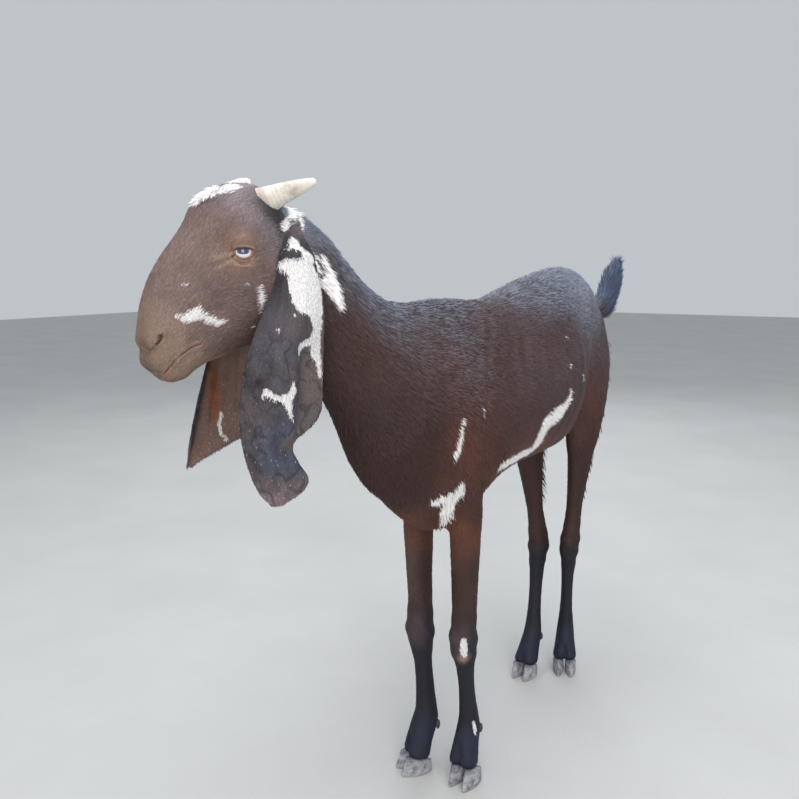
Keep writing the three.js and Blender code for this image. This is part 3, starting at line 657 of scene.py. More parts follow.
def sculpt_body(points, normals):
    """Bone and muscle under the skin, ribs, and cords and hollows of the lower legs."""
    lift = np.zeros(len(points))
    spot = points / MM
    for *place, radius, height in SWELLS:
        lift += height * np.exp(-(np.linalg.norm(spot - place, axis=1) / radius) ** 2)
    x, y, z = spot.T
    ribs = smooth(y, -90, 0) * smooth(y, 260, 180) * smooth(z, 590, 660) * smooth(z, 850, 800)
    lift += 0.65 * np.sin(2 * math.pi * (y - 0.25 * (z - 700)) / 36 + 0.8 * wander(spot, 90, 6)) * ribs
    for chain, depth, swell in ((SHOULDER_LINE, 3.2, 3.0), (HIP_LINE, 2.6, 3.6)):
        for mirror in (False, True):
            flank = x < MIDLINE if mirror else x > MIDLINE
            path = settled_chain(mirrored(chain) if mirror else chain, spot, flank)
            near = chain_distance(spot, path)
            ahead = y < np.interp(z, path[::-1, 2], path[::-1, 1])
            lift += swell * bell(near, 16, 11) * ahead - depth * bell(near, 0, 9)
    limb = smooth(z, 480, 420)
    for name, joints in LEGS.items():
        knee = joints[2] / MM
        near = np.exp(-((np.linalg.norm(spot - knee, axis=1) / 42) ** 2)) * limb
        lift += near * (1.6 * np.sin(spot @ [0.13, 0.10, 0.17] + knee[1]) + 0.8)
        side = np.abs(x - knee[0])
        close = np.linalg.norm(spot[:, :2] - knee[:2], axis=1) < 60
        cannon = smooth(z, 120, 150) * smooth(z, 260, 225) * close
        behind = smooth(y - np.interp(z, [96, 275], [joints[3][1] / MM, knee[1]]), 2, 7)
        lift -= 1.3 * cannon * bell(side, 8, 4) * behind
        ahead = (spot[:, :2] - joints[4][:2] / MM) @ turned("Z", radians(FOOT_TURNS.get(name, 0)))[:2, :2]
        near = (np.linalg.norm(ahead, axis=1) < 60) * smooth(z, 100, 55)
        lift -= 6.5 * near * np.exp(-((ahead[:, 0] / 4.0) ** 2)) * smooth(np.abs(ahead[:, 1]), 8, 16)
    lift += 0.5 * wander(spot, 55, 3) * smooth(z, 100, 300)
    return points + normals * (lift * MM)[:, None]


def build_skin():
    body = mesh_object("skin", *body_surface())
    head = mesh_object("head_part", *head_surface())
    left, left_grid = ear_mesh("left")
    right, right_grid = ear_mesh("right")
    face_outwards(body)
    face_outwards(head)
    join_solids(body, [head, left, right])
    work = bmesh.new()
    work.from_mesh(body.data)
    bmesh.ops.triangulate(work, faces=work.faces)
    keep_main_part(work)
    work.verts.index_update()
    refine(work, 2, 1.3 * MM)
    refine(work, 1, 0.75 * MM)
    bmesh.ops.recalc_face_normals(work, faces=work.faces)
    work.to_mesh(body.data)
    work.free()
    mesh = body.data
    points, normals, edges = mesh_arrays(mesh)
    past = past_neck_cut(*points.T)
    ear = ear_places(points, {"left": left_grid, "right": right_grid})
    melt = np.exp(-((past / (7 * MM)) ** 2)) * (ear["share"] < 0)
    for word in EARS:
        root = from_head(np.array(EARS[word]["root"]) * [EARS[word]["side"], 1, 1] * MM)
        near = smooth(np.linalg.norm(points - root, axis=1), 40 * MM, 22 * MM)
        melt = np.maximum(melt, near * np.where(ear["share"] > 0.12, 0, 1))
    fine = fine_places(points, 2)
    points = eased(points, edges, 8, 0.7 * melt)
    points = eased(points, edges, 4, 0.5 * eased(fine.astype(float), edges, 2))
    set_points(mesh, points)
    points, normals, edges = mesh_arrays(mesh)
    points = sculpt_body(points, normals)
    set_points(mesh, points)
    points, normals, edges = mesh_arrays(mesh)
    normals = unit(eased(normals, edges, 3))
    points = sculpt_muzzle(points, normals)
    sculpt_eyes(points)
    set_points(mesh, points)
    return body, ear


def ear_places(points, grids):
    """For each point of the skin: share down an ear (-1 elsewhere), place across it, side, and if inside."""
    share, across = np.full(len(points), -1.0), np.zeros(len(points))
    which, inner = np.zeros(len(points)), np.zeros(len(points), bool)
    for word, grid in grids.items():
        _, deep, wide, _ = grid.shape
        flat = grid.reshape(-1, 3)
        tree = kdtree.KDTree(len(flat))
        for n, place in enumerate(flat):
            tree.insert(place, n)
        tree.balance()
        low, high = flat.min(0) - 2 * MM, flat.max(0) + 2 * MM
        for n in np.nonzero(((points > low) & (points < high)).all(1))[0]:
            _, found, gap = tree.find(points[n])
            row, column = (found // wide) % deep, found % wide
            if gap < 1.2 * MM and row > 5:
                share[n] = max(0.0, -0.05 + 1.05 * row / (deep - 1))
                across[n] = column / (wide - 1)
                which[n] = EARS[word]["side"]
                inner[n] = found >= wide * deep
    return {"share": share, "across": across, "side": which, "inner": inner}


# ================================================================ what the coat is at each place
def rgb(*parts):
    """Screen colour, 0 to 255, as light."""
    c = np.array(parts, float) / 255
    return np.where(c <= 0.04045, c / 12.92, ((c + 0.055) / 1.055) ** 2.4)


# The third colour is a painted sheen: the blue-grey sky reflection on the coat's upper surfaces.
BROWN, GLOW, SHEEN_TINT = rgb(76, 52, 48), rgb(102, 60, 46), rgb(102, 112, 130)
FACE, EYE_WARM, MUZZLE, JAW = rgb(140, 117, 112), rgb(156, 122, 102), rgb(162, 136, 120), rgb(110, 88, 82)
EAR_OUT, EAR_IN, EAR_EDGE = rgb(96, 92, 100), rgb(176, 144, 128), rgb(50, 42, 44)
# The last colour is the lips' pink, also used for a painted highlight on the nose wings.
SHANK, TAIL_BLUE, DARK, LIP_PINK_AND_HIGHLIGHT = rgb(30, 31, 42), rgb(80, 93, 120), rgb(50, 52, 58), rgb(204, 154, 150)

# white patches: strings of balls, each x, y, z and radius in millimetres
HEAD_WHITE = [
    [(-80, -539, 1011, 6), (-68, -549, 1015, 9), (-58, -549, 1021, 14), (-46, -543, 1028, 15),
     (-32, -536, 1031, 13), (-24, -526, 1035, 8)],
    [(-39, -616, 872, 1.4), (-35, -607, 867, 4.4), (-31, -596, 871, 7.2), (-29, -591, 874, 6.8),
     (-28, -585, 869, 4.4)],
    [(-27, -583, 869, 3.4), (-26, -575, 863, 5.6), (-24, -565, 861, 4.6), (-22, -557, 861, 2.4)],
    [(-36, -605, 910, 1.6), (-34, -602, 908, 1.2)],
    [(2, -535, 908, 1.8)],
    [(5, -517, 904, 2.8), (3, -514, 896, 4.6), (1.5, -510, 888, 5), (-2, -508.5, 878, 3.6),
     (-4, -507, 871, 2.2)],
    [(-20, -432, 1012, 8), (-16, -427, 1009, 9), (-7, -431, 1000, 13), (-2, -438, 992, 14),
     (-1, -452, 986, 12), (7, -471, 984, 6)],
    [(1, -451, 979, 3), (4, -448, 973, 6.4), (7, -444, 966, 7), (11, -438, 957, 9), (14, -431, 946, 10),
     (18, -423, 934, 11), (21, -416, 920, 11), (24, -413, 908, 6)],
    [(-16, -511, 852, 1.6)],
    [(-70, -560, 905, 3), (-72, -568, 880, 4), (-68, -572, 862, 3)],
]
BODY_WHITE = [
    [(16, -409, 949, 4), (19, -403, 938, 6.4), (23, -400, 924, 7.2), (26, -395, 910, 8.4),
     (29, -393, 896, 8.8), (31, -392, 885, 7.4), (32, -393, 876, 3.5)],
    [(15, -420, 944, 6), (18, -415, 926, 8), (22, -410, 908, 8), (25, -406, 895, 4)],
    [(119, -196, 694, 2.5), (119, -199, 676, 4.1), (117, -202, 657, 5.1), (114, -206, 641, 6),
     (114, -205, 632, 3.2)],
    [(110, -177, 584, 5.3), (103, -181, 571, 10.5), (97, -192, 561, 13.8), (87, -190, 541, 12.6),
     (80, -178, 520, 10), (72, -172, 500, 8)],
    [(96, -197, 562, 10.5), (88, -215, 560, 8.8), (81, -231, 561, 4.8)],
    [(157, 134, 697, 5), (156, 129, 681, 10.5), (152, 111, 666, 14.5), (148, 81, 657, 18), (144, 59, 649, 16),
     (138, 52, 630, 16), (128, 58, 609, 16), (116, 50, 592, 15), (112, 17, 587, 15), (115, -28, 589, 11),
     (117, -65, 590, 7)],
    [(153, 134, 746, 4)],
    [(156, 191, 721, 3.6), (156, 192, 711, 3)],
    [(138, 142, 798, 2)],
    [(123, -150, 704, 1.8), (124, -145, 690, 1.8)],
    [(92, -140, 285, 5), (91, -139, 271, 7.7), (89, -138, 260, 5)],
    [(92, -106, 116, 3.4), (95, -101, 93, 4)],
    [(-70, 60, 660, 7), (-74, 20, 640, 9), (-66, -20, 610, 7)],
    [(-60, 200, 740, 4)],
    [(-45, -190, 560, 6), (-40, -182, 530, 8)],
]
NECK_HOLES = [[(16, -419, 945, 2.5), (18, -417, 937, 2.8)], [(20, -417, 927, 4.5), (21, -418, 922, 4.2)]]
EAR_WHITE = [
    [(26, -474, 976, 4), (28, -473, 971, 6.2), (31, -473, 963, 6.4), (35, -470, 956, 6), (38, -464, 951, 7.6),
     (39, -456, 944, 8)],
    [(17, -482, 957, 2.4), (25, -479, 958, 3.4), (32, -473, 958, 4.6)],
    [(17, -488, 934, 6), (29, -481, 934, 12), (38, -471, 929, 20), (42, -467, 911, 25), (44, -465, 893, 24.5),
     (49, -457, 878, 16), (51, -455, 863, 11), (49, -452, 848, 9.4), (46, -454, 833, 10.6),
     (44, -449, 816, 8.6), (42, -443, 800, 4.8), (40, -440, 785, 2.6)],
    [(46, -454, 834, 6.4), (42, -473, 830, 5.2), (39, -481, 828, 3.6), (39, -483, 818, 1.8)],
    [(8, -521, 763, 1.3), (12, -518, 770, 3.5), (17, -514, 764, 4.3), (22, -509, 760, 4.3),
     (28, -502, 760, 4.8), (33, -495, 762, 5.9), (35, -491, 770, 4.5), (35, -491, 779, 2.1)],
    [(31, -498, 757, 5.9), (33, -494, 747, 4), (31, -491, 735, 2.2), (29, -489, 728, 1.1)],
    [(26, -502, 852, 2), (23, -504, 849, 1.6)],
    [(39, -486, 870, 1.9)],
]
EAR_HOLES = [[(20, -483, 951, 5.4), (28, -479, 949, 7.4), (34, -473, 948, 5.8)]]
FAR_EAR_WHITE = [[(-144, -459, 714, 2), (-145, -464, 699, 3.6), (-144, -460, 685, 3.2), (-140, -454, 672, 3)]]
FAR_EAR_GLOW = [(-138, -479, 790, 6), (-142, -473, 761, 10), (-144, -469, 738, 11), (-145, -467, 719, 8),
                (-146, -472, 706, 4)]


def forelock_share(side, along, rise):
    """1 in the white tuft over the forehead, in the head's millimetres."""
    return np.exp(-(np.linalg.norm(np.c_[(side - 2) / 1.3, along - 40, rise - 42], axis=1) / 22) ** 4)


def describe(points, normals, edges, ear):
    """Colour, white patches, and the lie, length, width, lift and crowding of the coat, point by point."""
    mm = points / MM
    x, y, z = mm.T
    side, along, rise = (to_head(points) / MM).T
    past = past_neck_cut(*points.T) / MM
    on_ear = ear["share"] >= 0
    head = smooth(past, 30, 75) * ~on_ear
    neck = smooth(y, -215, -300) * (1 - head) * ~on_ear * smooth(z, 600, 680)
    leg = smooth(z, 570, 500) * smooth(y, -330, -300)
    low_leg = smooth(z, 345, 265)
    tail = smooth(y, 525, 545) * smooth(z, 800, 815)
    top = smooth(normals[:, 2], 0.15, 0.95)
    rough = wander(mm, 70, 5)
    fleck = wander(mm, 22, 8)

    def paint(colour, onto, share):
        share = np.clip(share, 0, 1)[:, None]
        return colour + (onto - colour) * share

    colour = np.tile(BROWN, (len(points), 1))
    barrel = 1 - np.maximum.reduce([head, neck, leg])
    glow = bells((y, -190, 90), (z, 660, 110)) + bells((y, 60, 160), (z, 590, 60))
    glow += bells((y, 380, 90), (z, 640, 110))
    # Painted sheen: mauve bands along the barrel's sides, where the glossy coat catches the light.
    colour = paint(colour, rgb(98, 84, 92), 0.45 * barrel * bell(z, 740, 90) * smooth(y, -120, 40))
    colour = paint(colour, rgb(88, 74, 84), 0.4 * barrel * bells((y, 400, 100), (z, 740, 120)))
    colour = paint(colour, GLOW, 0.75 * glow * (0.8 + 0.4 * rough))
    # Painted sheen: blue-grey sky reflection on the back's upward-facing surfaces, and in small flecks over
    # the barrel.
    sheen_back = (0.4 * smooth(y, -60, 140) + 0.4 * smooth(y, 220, 330)) * top * smooth(z, 780, 880)
    colour = paint(colour, SHEEN_TINT, barrel * (sheen_back + 0.10 * smooth(fleck, 0.6, 1.4)))
    # Painted sheen: a pale grey reflection on the croup.
    colour = paint(colour, rgb(148, 152, 166), 0.7 * bells((y, 345, 110), (z, 885, 65)))
    # Painted sheen: a dark blue reflection over the withers.
    colour = paint(colour, rgb(70, 84, 104), 0.45 * bell(y, -190, 70) * top * smooth(z, 780, 880))
    # Painted sheen: the crest's upward and forward-facing surfaces and the neck's top take the blue-grey
    # reflection.
    crest = neck * smooth(normals[:, 1] * 0.6 + normals[:, 2] * 0.8, -0.1, 0.9)
    colour = paint(colour, SHEEN_TINT, 0.26 * neck * (0.6 + 0.4 * fleck) * smooth(z, 800, 920) + 0.5 * crest)
    colour = paint(colour, rgb(76, 54, 47), 0.6 * neck * smooth(z, 930, 800))
    colour = paint(colour, rgb(58, 35, 28), 0.8 * smooth(y, -190, -280) * smooth(z, 800, 700))
    colour = paint(colour, rgb(58, 38, 33), 0.7 * neck * smooth(normals[:, 1], 0.0, -0.8))
    face = paint(np.tile(FACE, (len(points), 1)), MUZZLE, smooth(along, 175, 225))
    eyes = [eye_coordinates(points, hand) for hand in (1, -1)]
    warm = np.zeros(len(points))
    for reach, _, out, *_ in eyes:
        warm = np.maximum(warm, smooth(reach / MM, 50, 20) * smooth(out, 0, 0.3))
    face = paint(face, EYE_WARM, 0.7 * warm)
    for reach, _, out, ahead, up, *_ in eyes:
        near = (reach < 42 * MM) * smooth(out, 0.0, 0.3)
        tear = chain_distance(np.c_[ahead, up, 0 * up], TEAR_FOLD)
        below = lid_gap(ahead, up)[2]
        fold = sum(bell(below, place, 1.0) for place in (3.7, 7.1, 10.4)) * smooth(up, 0, -3)
        fold = fold * smooth(np.abs(ahead), 19, 9) + bell(tear, 2.8, 1.3) * smooth(ahead, 8, 12)
        # Painted highlight: pale tan on the tops of the folds under the eye and along the tear fold's ridge.
        face = paint(face, rgb(240, 200, 176), 0.9 * fold * near)
        # Painted shade in the tear fold's groove.
        face = paint(face, rgb(92, 66, 56), 0.7 * near * bell(tear, 0, 1.3) * smooth(ahead, 7, 10))
    line = chain_distance(np.c_[np.abs(side), along, rise], np.c_[MOUTH, np.zeros(len(MOUTH))])
    # Pink of the lip along the mouth's line, with a painted highlight on the ridge beside it.
    face = paint(face, rgb(186, 146, 130), 0.6 * bell(line, 3.4, 2.0))
    crease = chain_distance(np.c_[np.abs(side), along, rise], np.c_[NOSE_CREASE, np.zeros(len(NOSE_CREASE))])
    # Painted shade in the crease beside the nostril.
    face = paint(face, rgb(92, 70, 62), 0.7 * bell(crease, 0, 1.4))
    face = paint(face, JAW, smooth(rise, -62, -98) * smooth(along, 215, 170))
    face = paint(face, rgb(144, 130, 134), smooth(along, 80, 30) * 0.9)
    # Painted sheen: the blue-grey reflection behind the poll, joining the crest's.
    face = paint(face, rgb(118, 128, 142), smooth(along, 4, -22))
    face = paint(face, rgb(108, 84, 76), 0.35 * smooth(fleck, 0.2, 1.2) * smooth(along, 40, 80))
    # Pink lower lip, and a painted highlight on the nose wing's lit lower edge.
    lip_and_nose_highlight = bells((np.abs(side), 11, 8), (along, 255, 7), (rise, -59, 4.5))
    lip_and_nose_highlight += 0.6 * bells((np.abs(side), 15, 6), (along, 242, 6), (rise, -16.5, 2.6))
    face = paint(face, LIP_PINK_AND_HIGHLIGHT, 0.75 * lip_and_nose_highlight)
    colour = paint(colour, face, head)
    shadow = np.exp(-(((np.abs(side) - 46) / 24) ** 2) - ((along - 6) / 20) ** 4 - ((rise + 24) / 38) ** 4)
    colour = paint(colour, DARK, 0.9 * shadow * ~on_ear)
    colour = paint(colour, rgb(64, 41, 34), leg * 0.7)
    right_fore = leg * smooth(x, 0, -20) * smooth(y, -60, -100) * smooth(z, 300, 360)
    colour = paint(colour, rgb(104, 84, 80), 0.6 * right_fore)
    forearms = leg * smooth(y, 0, -60) * smooth(z, 400, 460)
    colour = paint(colour, rgb(132, 74, 50), 0.6 * forearms * (0.7 + 0.5 * rough))
    colour = paint(colour, SHANK, low_leg * (1 + 0.15 * fleck))
    # Painted sheen: a blue sky reflection on the pasterns and round the knees.
    blue_sheen = 0.6 * smooth(z, 130, 80) + 0.35 * bell(z, 290, 34) * (y < 0)
    colour = paint(colour, rgb(42, 51, 80), blue_sheen * low_leg * (0.8 + 0.3 * fleck))
    knuckle = smooth(z, 330, 290) * smooth(z, 235, 265) * smooth(-normals[:, 1], 0.1, 0.8) * (y < 0)
    colour = paint(colour, rgb(120, 92, 88), 0.35 * knuckle)
    sore = np.linalg.norm(mm - [88, -138, 249], axis=1)
    colour = paint(colour, rgb(214, 168, 156), 0.85 * smooth(sore, 13, 7))
    colour = paint(colour, TAIL_BLUE, tail * smooth(y, 530, 580))
    down, over = ear["share"], ear["across"]
    sheet = paint(np.tile(EAR_OUT, (len(points), 1)), rgb(64, 56, 58), 0.6 * smooth(fleck, -0.2, 1.0))
    sheet = paint(sheet, rgb(104, 90, 92), 0.6 * smooth(rough, -0.1, 0.9))
    sheet = paint(sheet, rgb(46, 46, 52), smooth(down, 0.34, 0.16) * 0.85)
    blue_band = smooth(down, 0.6, 0.72) * smooth(down, 0.93, 0.84) * smooth(over, 0.1, 0.5)
    sheet = paint(sheet, rgb(92, 100, 120), 0.75 * blue_band)
    sheet = paint(sheet, rgb(160, 140, 146), 0.8 * smooth(down, 0.86, 0.95))
    # Painted shade in the creases of the ear's outer sheet, along the same lines that are sculpted in.
    lines = wander(np.stack([over * 110, down * 360, ear["side"] * 50], 1), 26, 11, 9)
    sheet = paint(sheet, rgb(38, 34, 40), 0.9 * bell(lines, 0, 0.16) * smooth(down, 0.3, 0.5))
    flap = smooth(over, 0.64, 0.72) * smooth(down, 0.3, 0.45) * smooth(down, 0.8, 0.75)
    sheet = paint(sheet, rgb(124, 110, 108), 0.85 * flap)
    inside = paint(np.tile(EAR_IN, (len(points), 1)), rgb(144, 116, 108), smooth(down, 0.5, 0.75))
    glow_in = chain_distance(mm, FAR_EAR_GLOW)
    inside = paint(inside, rgb(166, 100, 66), 0.8 * smooth(glow_in, 8, -4))
    inside = paint(inside, EAR_EDGE, smooth(over, 0.22, 0.08) * 0.9 + 0.5 * smooth(over, 0.85, 1.0))
    inside = paint(inside, EAR_EDGE, 0.45 * smooth(fleck, 0.3, 1.2))
    inner = ear["inner"] & (over > 0.07) & (over < 0.93) & (down < 0.985)
    sheet = np.where(inner[:, None], inside, sheet)
    colour = np.where(on_ear[:, None], sheet, colour)
    colour = eased(colour, edges, 1)

    white = np.full(len(points), 40.0)
    own_ear = on_ear & (ear["side"] > 0) & ~inner
    for chains, where, nearest in (
        (HEAD_WHITE, ~on_ear & (z > 600), np.minimum),
        (BODY_WHITE, ~on_ear, np.minimum),
        (EAR_WHITE, own_ear, np.minimum),
        (FAR_EAR_WHITE, on_ear & (ear["side"] < 0), np.minimum),
        (EAR_HOLES, own_ear, lambda old, gap: np.maximum(old, -gap)),
        (NECK_HOLES, ~on_ear, lambda old, gap: np.maximum(old, -gap)),
    ):
        for chain in chains:
            white[where] = nearest(white[where], chain_distance(mm[where], settled_chain(chain, mm, where)))

    lie = np.tile([0.02, 1.0, -0.42], (len(points), 1))
    lower = smooth(z, 760, 560)
    lie += np.stack([0 * x, 0 * x, -2.0 * lower * smooth(y, 20, -120) - 1.3 * lower * smooth(y, 250, 400)], 1)
    belly = smooth(-normals[:, 2], 0.3, 0.8) * (1 - leg)
    lie += belly[:, None] * [0, 0.6, -0.3]
    down_neck = -NECK_WAY + np.array([0.0, 0.0, -0.35])
    lie = lie * (1 - neck[:, None]) + down_neck * neck[:, None]
    lie = lie * (1 - leg[:, None]) + np.array([0.0, 0.12, -1.0]) * leg[:, None]
    up_face = -HEAD_AXES[:, 1]
    cheek = smooth(rise, -20, -60) * smooth(along, 200, 120)
    face_lie = up_face + cheek[:, None] * [0.0, 0.5, -0.5]
    brow = smooth(along, 40, -10)[:, None]
    face_lie = face_lie * (1 - brow) + brow * np.array([0.1, 0.9, -0.25])
    tuft = forelock_share(side, along, rise)[:, None]
    face_lie = face_lie * (1 - tuft) + tuft * (HEAD_AXES[:, 1] + np.outer(side / 40, HEAD_AXES[:, 0]))
    lie = lie * (1 - head[:, None]) + face_lie * head[:, None]
    lie = np.where(on_ear[:, None], [0.05, 0.10, -1.0], lie)
    brush = np.clip(tail, 0, 1)[:, None]
    lie = lie * (1 - brush) + np.array([0.12, 0.75, 0.8]) * brush
    swirl = np.stack([wander(mm, 60, 21), wander(mm, 60, 22), wander(mm, 60, 23)], 1)
    lie = across_skin(unit(lie) + 0.16 * swirl, normals)
    lie = across_skin(eased(lie, edges, 4), normals)

    def blend(value, onto, share):
        return value + (onto - value) * np.clip(share, 0, 1)

    length = np.full(len(points), 14.0)
    for value, share in (
        (19, top * smooth(z, 820, 890)), (17, belly), (15, neck), (7.5, leg), (4.6, low_leg), (6.5, head),
        (3.2, head * smooth(along, 170, 225)), (2.6, warm * 0.8), (3.8, on_ear),
        (7, on_ear & (ear["share"] < 0.15)), (12, brush[:, 0]), (5.5, z < 45),
        (3, on_ear * smooth(down, 0.9, 0.97)),
    ):
        length = blend(length, value, share)
    width = np.where(on_ear, 0.85, 0.35 + 0.085 * length)
    lift = np.full(len(points), 7.0)
    for value, share in ((10, belly), (9, neck), (8, head), (3.5, leg), (28, brush[:, 0])):
        lift = blend(lift, value, share)
    crowd = 1.0 / (length * width)
    dark, lids, under = (np.zeros(len(points)) for _ in range(3))
    for hand, (reach, _, out, _, _, a, b) in zip((1, -1), eyes):
        gap, above, below = lid_gap(a, b)
        hole = chain_distance(np.c_[side * hand, along, rise], np.c_[NOSTRIL, np.zeros(len(NOSTRIL))])
        slot = chain_distance(np.c_[side * hand, along, rise], np.c_[MOUTH, np.zeros(len(MOUTH))])
        on_eye = (gap < 1.2) & (reach < 22 * MM) & (out > 0.15)
        crowd = np.where(on_eye | (hole < 2.0) | (slot < 1.6), 0, crowd)
        rim = smooth(gap, 1.5, 0.7) * (reach < 24 * MM) * smooth(out, 0.05, 0.2)
        dark = np.maximum.reduce([dark, smooth(hole, 2.5, 1.1), smooth(slot, 1.8, 0.7)])
        lids = np.maximum(lids, rim)
        under = np.where(rim > 0, smooth(below - above, -1, 1), under)
    # Painted shade: near-black in the nostrils and the mouth's slit.
    colour = paint(colour, rgb(20, 14, 14), dark)
    colour = paint(colour, rgb(88, 68, 62) + under[:, None] * (rgb(140, 98, 88) - rgb(88, 68, 62)), lids)
    dark = np.maximum(dark, lids)
    # Painted sheen: how strongly each place takes the blue-grey sky reflection, on the back by its
    # upward-facing surfaces, on the withers, croup, crest and behind the poll.
    frost = barrel * top * smooth(z, 790, 880) * (0.5 + 0.5 * smooth(rough, -0.6, 0.5))
    frost += 0.65 * bells((y, -160, 80), (z, 800, 90)) * (1 - head) * ~on_ear
    frost += 2.0 * bells((y, 345, 115), (z, 880, 85)) + 1.2 * crest + head * smooth(along, 6, -20)
    frost = np.where(on_ear, 0, frost * (0.62 + 0.38 * smooth(y, -60, 200) + 0.3 * neck))
    speckle = np.where(on_ear, 0.14 + 0.45 * smooth(down, 0.62, 0.8), 0.12 * head)
    return {
        "colour": np.clip(colour, 0, 1), "white": white, "frost": np.clip(frost, 0, 1),
        "speckle": speckle, "wrinkle": on_ear * ~inner * smooth(down, 0.28, 0.42), "bare": dark,
        "lie": lie, "length": length, "width": width, "lift": lift, "crowd": crowd,
    }


# ================================================================ unwrap of the skin
SHEET = 2.0  # metres of skin across the whole unwrap
LABELS = ["trunk", "neck", "head", "ear_left", "ear_left_in", "ear_right", "ear_right_in", *LEGS, "tail"]
CORNERS = {  # where each chart lies on the unwrap, metres
    "trunk": (0.70, 0.36), "neck": (1.70, 0.30), "head": (1.70, 0.62), "ear_left": (1.45, 0.90),
    "ear_left_in": (1.60, 0.90), "ear_right": (1.75, 0.90), "ear_right_in": (1.88, 0.90),
    "fore_left": (0.15, 0.95), "fore_right": (0.45, 0.95), "hind_left": (0.75, 0.95),
    "hind_right": (1.05, 0.95), "tail": (1.30, 0.95),
}


def label_points(points, ear):
    """Which part of the skin each point belongs to, as an index into LABELS."""
    y, z = points[:, 1], points[:, 2]
    past = past_neck_cut(*points.T)
    label = np.zeros(len(points), int)
    label[(y < -0.235) & (z > 0.62)] = LABELS.index("neck")
    label[past > 0.045] = LABELS.index("head")
    names = list(LEGS)
    gaps = np.stack([chain_distance(points, np.c_[LEGS[name][1:], np.zeros(4)]) for name in names], 1)
    legs = (z < 0.53) & (past < 0.03) & (gaps.min(1) < 0.11)
    label[legs] = LABELS.index(names[0]) + gaps.argmin(1)[legs]
    label[(y > 0.53) & (z > 0.80)] = LABELS.index("tail")
    on_ear = ear["share"] >= 0
    left = ear["side"] > 0
    for name, where in (
        ("ear_left", left & ~ear["inner"]), ("ear_left_in", left & ear["inner"]),
        ("ear_right", ~left & ~ear["inner"]), ("ear_right_in", ~left & ear["inner"]),
    ):
        label[on_ear & where] = LABELS.index(name)
    return label


def round_axis(offset, along, girth):
    """Chart coordinates round an axis: metres along it, and the turn about it."""
    along = unit(np.array(along, float))
    across = unit(np.cross(along, [0.31, 0.2, 1.0] if abs(along[2]) < 0.9 else [0, 1, 0]))
    other = np.cross(along, across)
    return offset @ along, np.arctan2(offset @ across, offset @ other), girth


def unwrap(points, faces, label):
    """Unwrap coordinates, 0 to 1, for each corner of each triangle."""
    corner_label = label[faces]
    chart = np.where(corner_label[:, 1] == corner_label[:, 2], corner_label[:, 1], corner_label[:, 0])
    result = np.zeros((len(faces), 3, 2))
    axes = {
        "trunk": ((0.03, 0.1, 0.72), (0, 1, 0), 0.19), "neck": (NECK_CUT, NECK_WAY, 0.11),
        "head": (from_head([0, 0.1, -0.03]), HEAD_AXES[:, 1], 0.065),
        "tail": ((0.03, 0.53, 0.84), (0.1, 0.7, 0.7), 0.03),
    }
    for name, joints in LEGS.items():
        axes[name] = (joints[2], (0, 0, 1), 0.045)
    for n, name in enumerate(LABELS):
        pick = np.nonzero(chart == n)[0]
        if not len(pick):
            continue
        corners = faces[pick]
        if name.startswith("ear"):
            high = points[corners][..., 2] - 0.75
            wide = (points[corners][..., 1] + 0.47) * 0.9
        else:
            centre, along, girth = axes[name]
            offset = points[corners] - centre
            if name in LEGS:
                offset[..., 0] -= np.interp(points[corners][..., 2], *leg_line(name, 0)) - centre[0]
                offset[..., 1] -= np.interp(points[corners][..., 2], *leg_line(name, 1)) - centre[1]
            high, turn, girth = round_axis(offset.reshape(-1, 3), along, girth)
            turn = turn.reshape(-1, 3)
            middle_turn = np.arctan2(np.sin(turn).sum(1), np.cos(turn).sum(1))[:, None]
            turn = middle_turn + (turn - middle_turn + math.pi) % (2 * math.pi) - math.pi
            high, wide = high.reshape(-1, 3), turn * girth
        result[pick] = np.stack([wide + CORNERS[name][0], high + CORNERS[name][1]], -1) / SHEET
    return result


def leg_line(name, axis):
    joints = LEGS[name][::-1]
    return joints[:, 2], joints[:, axis]


# ================================================================ trees of nodes
class Web:
    """Adds nodes to a tree: the node's type, its settings, then values or links for its sockets."""

    def __init__(self, tree):
        self.tree = tree
        tree.nodes.clear()

    def node(self, kind, settings=None, inputs=None):
        node = self.tree.nodes.new(kind)
        for name, value in (settings or {}).items():
            setattr(node, name, value)
        for place, value in (inputs or {}).items():
            value = value.socket if isinstance(value, Number) else value
            if isinstance(value, bpy.types.NodeSocket):
                self.tree.links.new(value, node.inputs[place])
            else:
                node.inputs[place].default_value = value
        return node

    def number(self, socket):
        return Number(self, socket)


class Number:
    """A number in a tree; + - * / and ** add Math nodes."""

    def __init__(self, web, socket):
        self.web, self.socket = web, socket

    def math(self, operation, *others, clamp=False):
        inputs = dict(enumerate((self,) + others))
        node = self.web.node("ShaderNodeMath", {"operation": operation, "use_clamp": clamp}, inputs)
        return Number(self.web, node.outputs[0])

    def flipped(self, operation, other):
        node = self.web.node("ShaderNodeMath", {"operation": operation}, {0: other, 1: self})
        return Number(self.web, node.outputs[0])

    def __add__(self, other):
        return self.math("ADD", other)

    def __sub__(self, other):
        return self.math("SUBTRACT", other)

    def __mul__(self, other):
        return self.math("MULTIPLY", other)

    def __truediv__(self, other):
        return self.math("DIVIDE", other)

    def __pow__(self, other):
        return self.math("POWER", other)

    def __radd__(self, other):
        return self.flipped("ADD", other)

    def __rsub__(self, other):
        return self.flipped("SUBTRACT", other)

    def __rmul__(self, other):
        return self.flipped("MULTIPLY", other)

    def __rtruediv__(self, other):
        return self.flipped("DIVIDE", other)

    def ease(self, low, high):
        """0 at low, 1 at high, smooth between."""
        node = self.web.node(
            "ShaderNodeMapRange", {"interpolation_type": "SMOOTHSTEP"},
            {0: self, 1: low, 2: high, 3: 0.0, 4: 1.0})
        return Number(self.web, node.outputs[0])


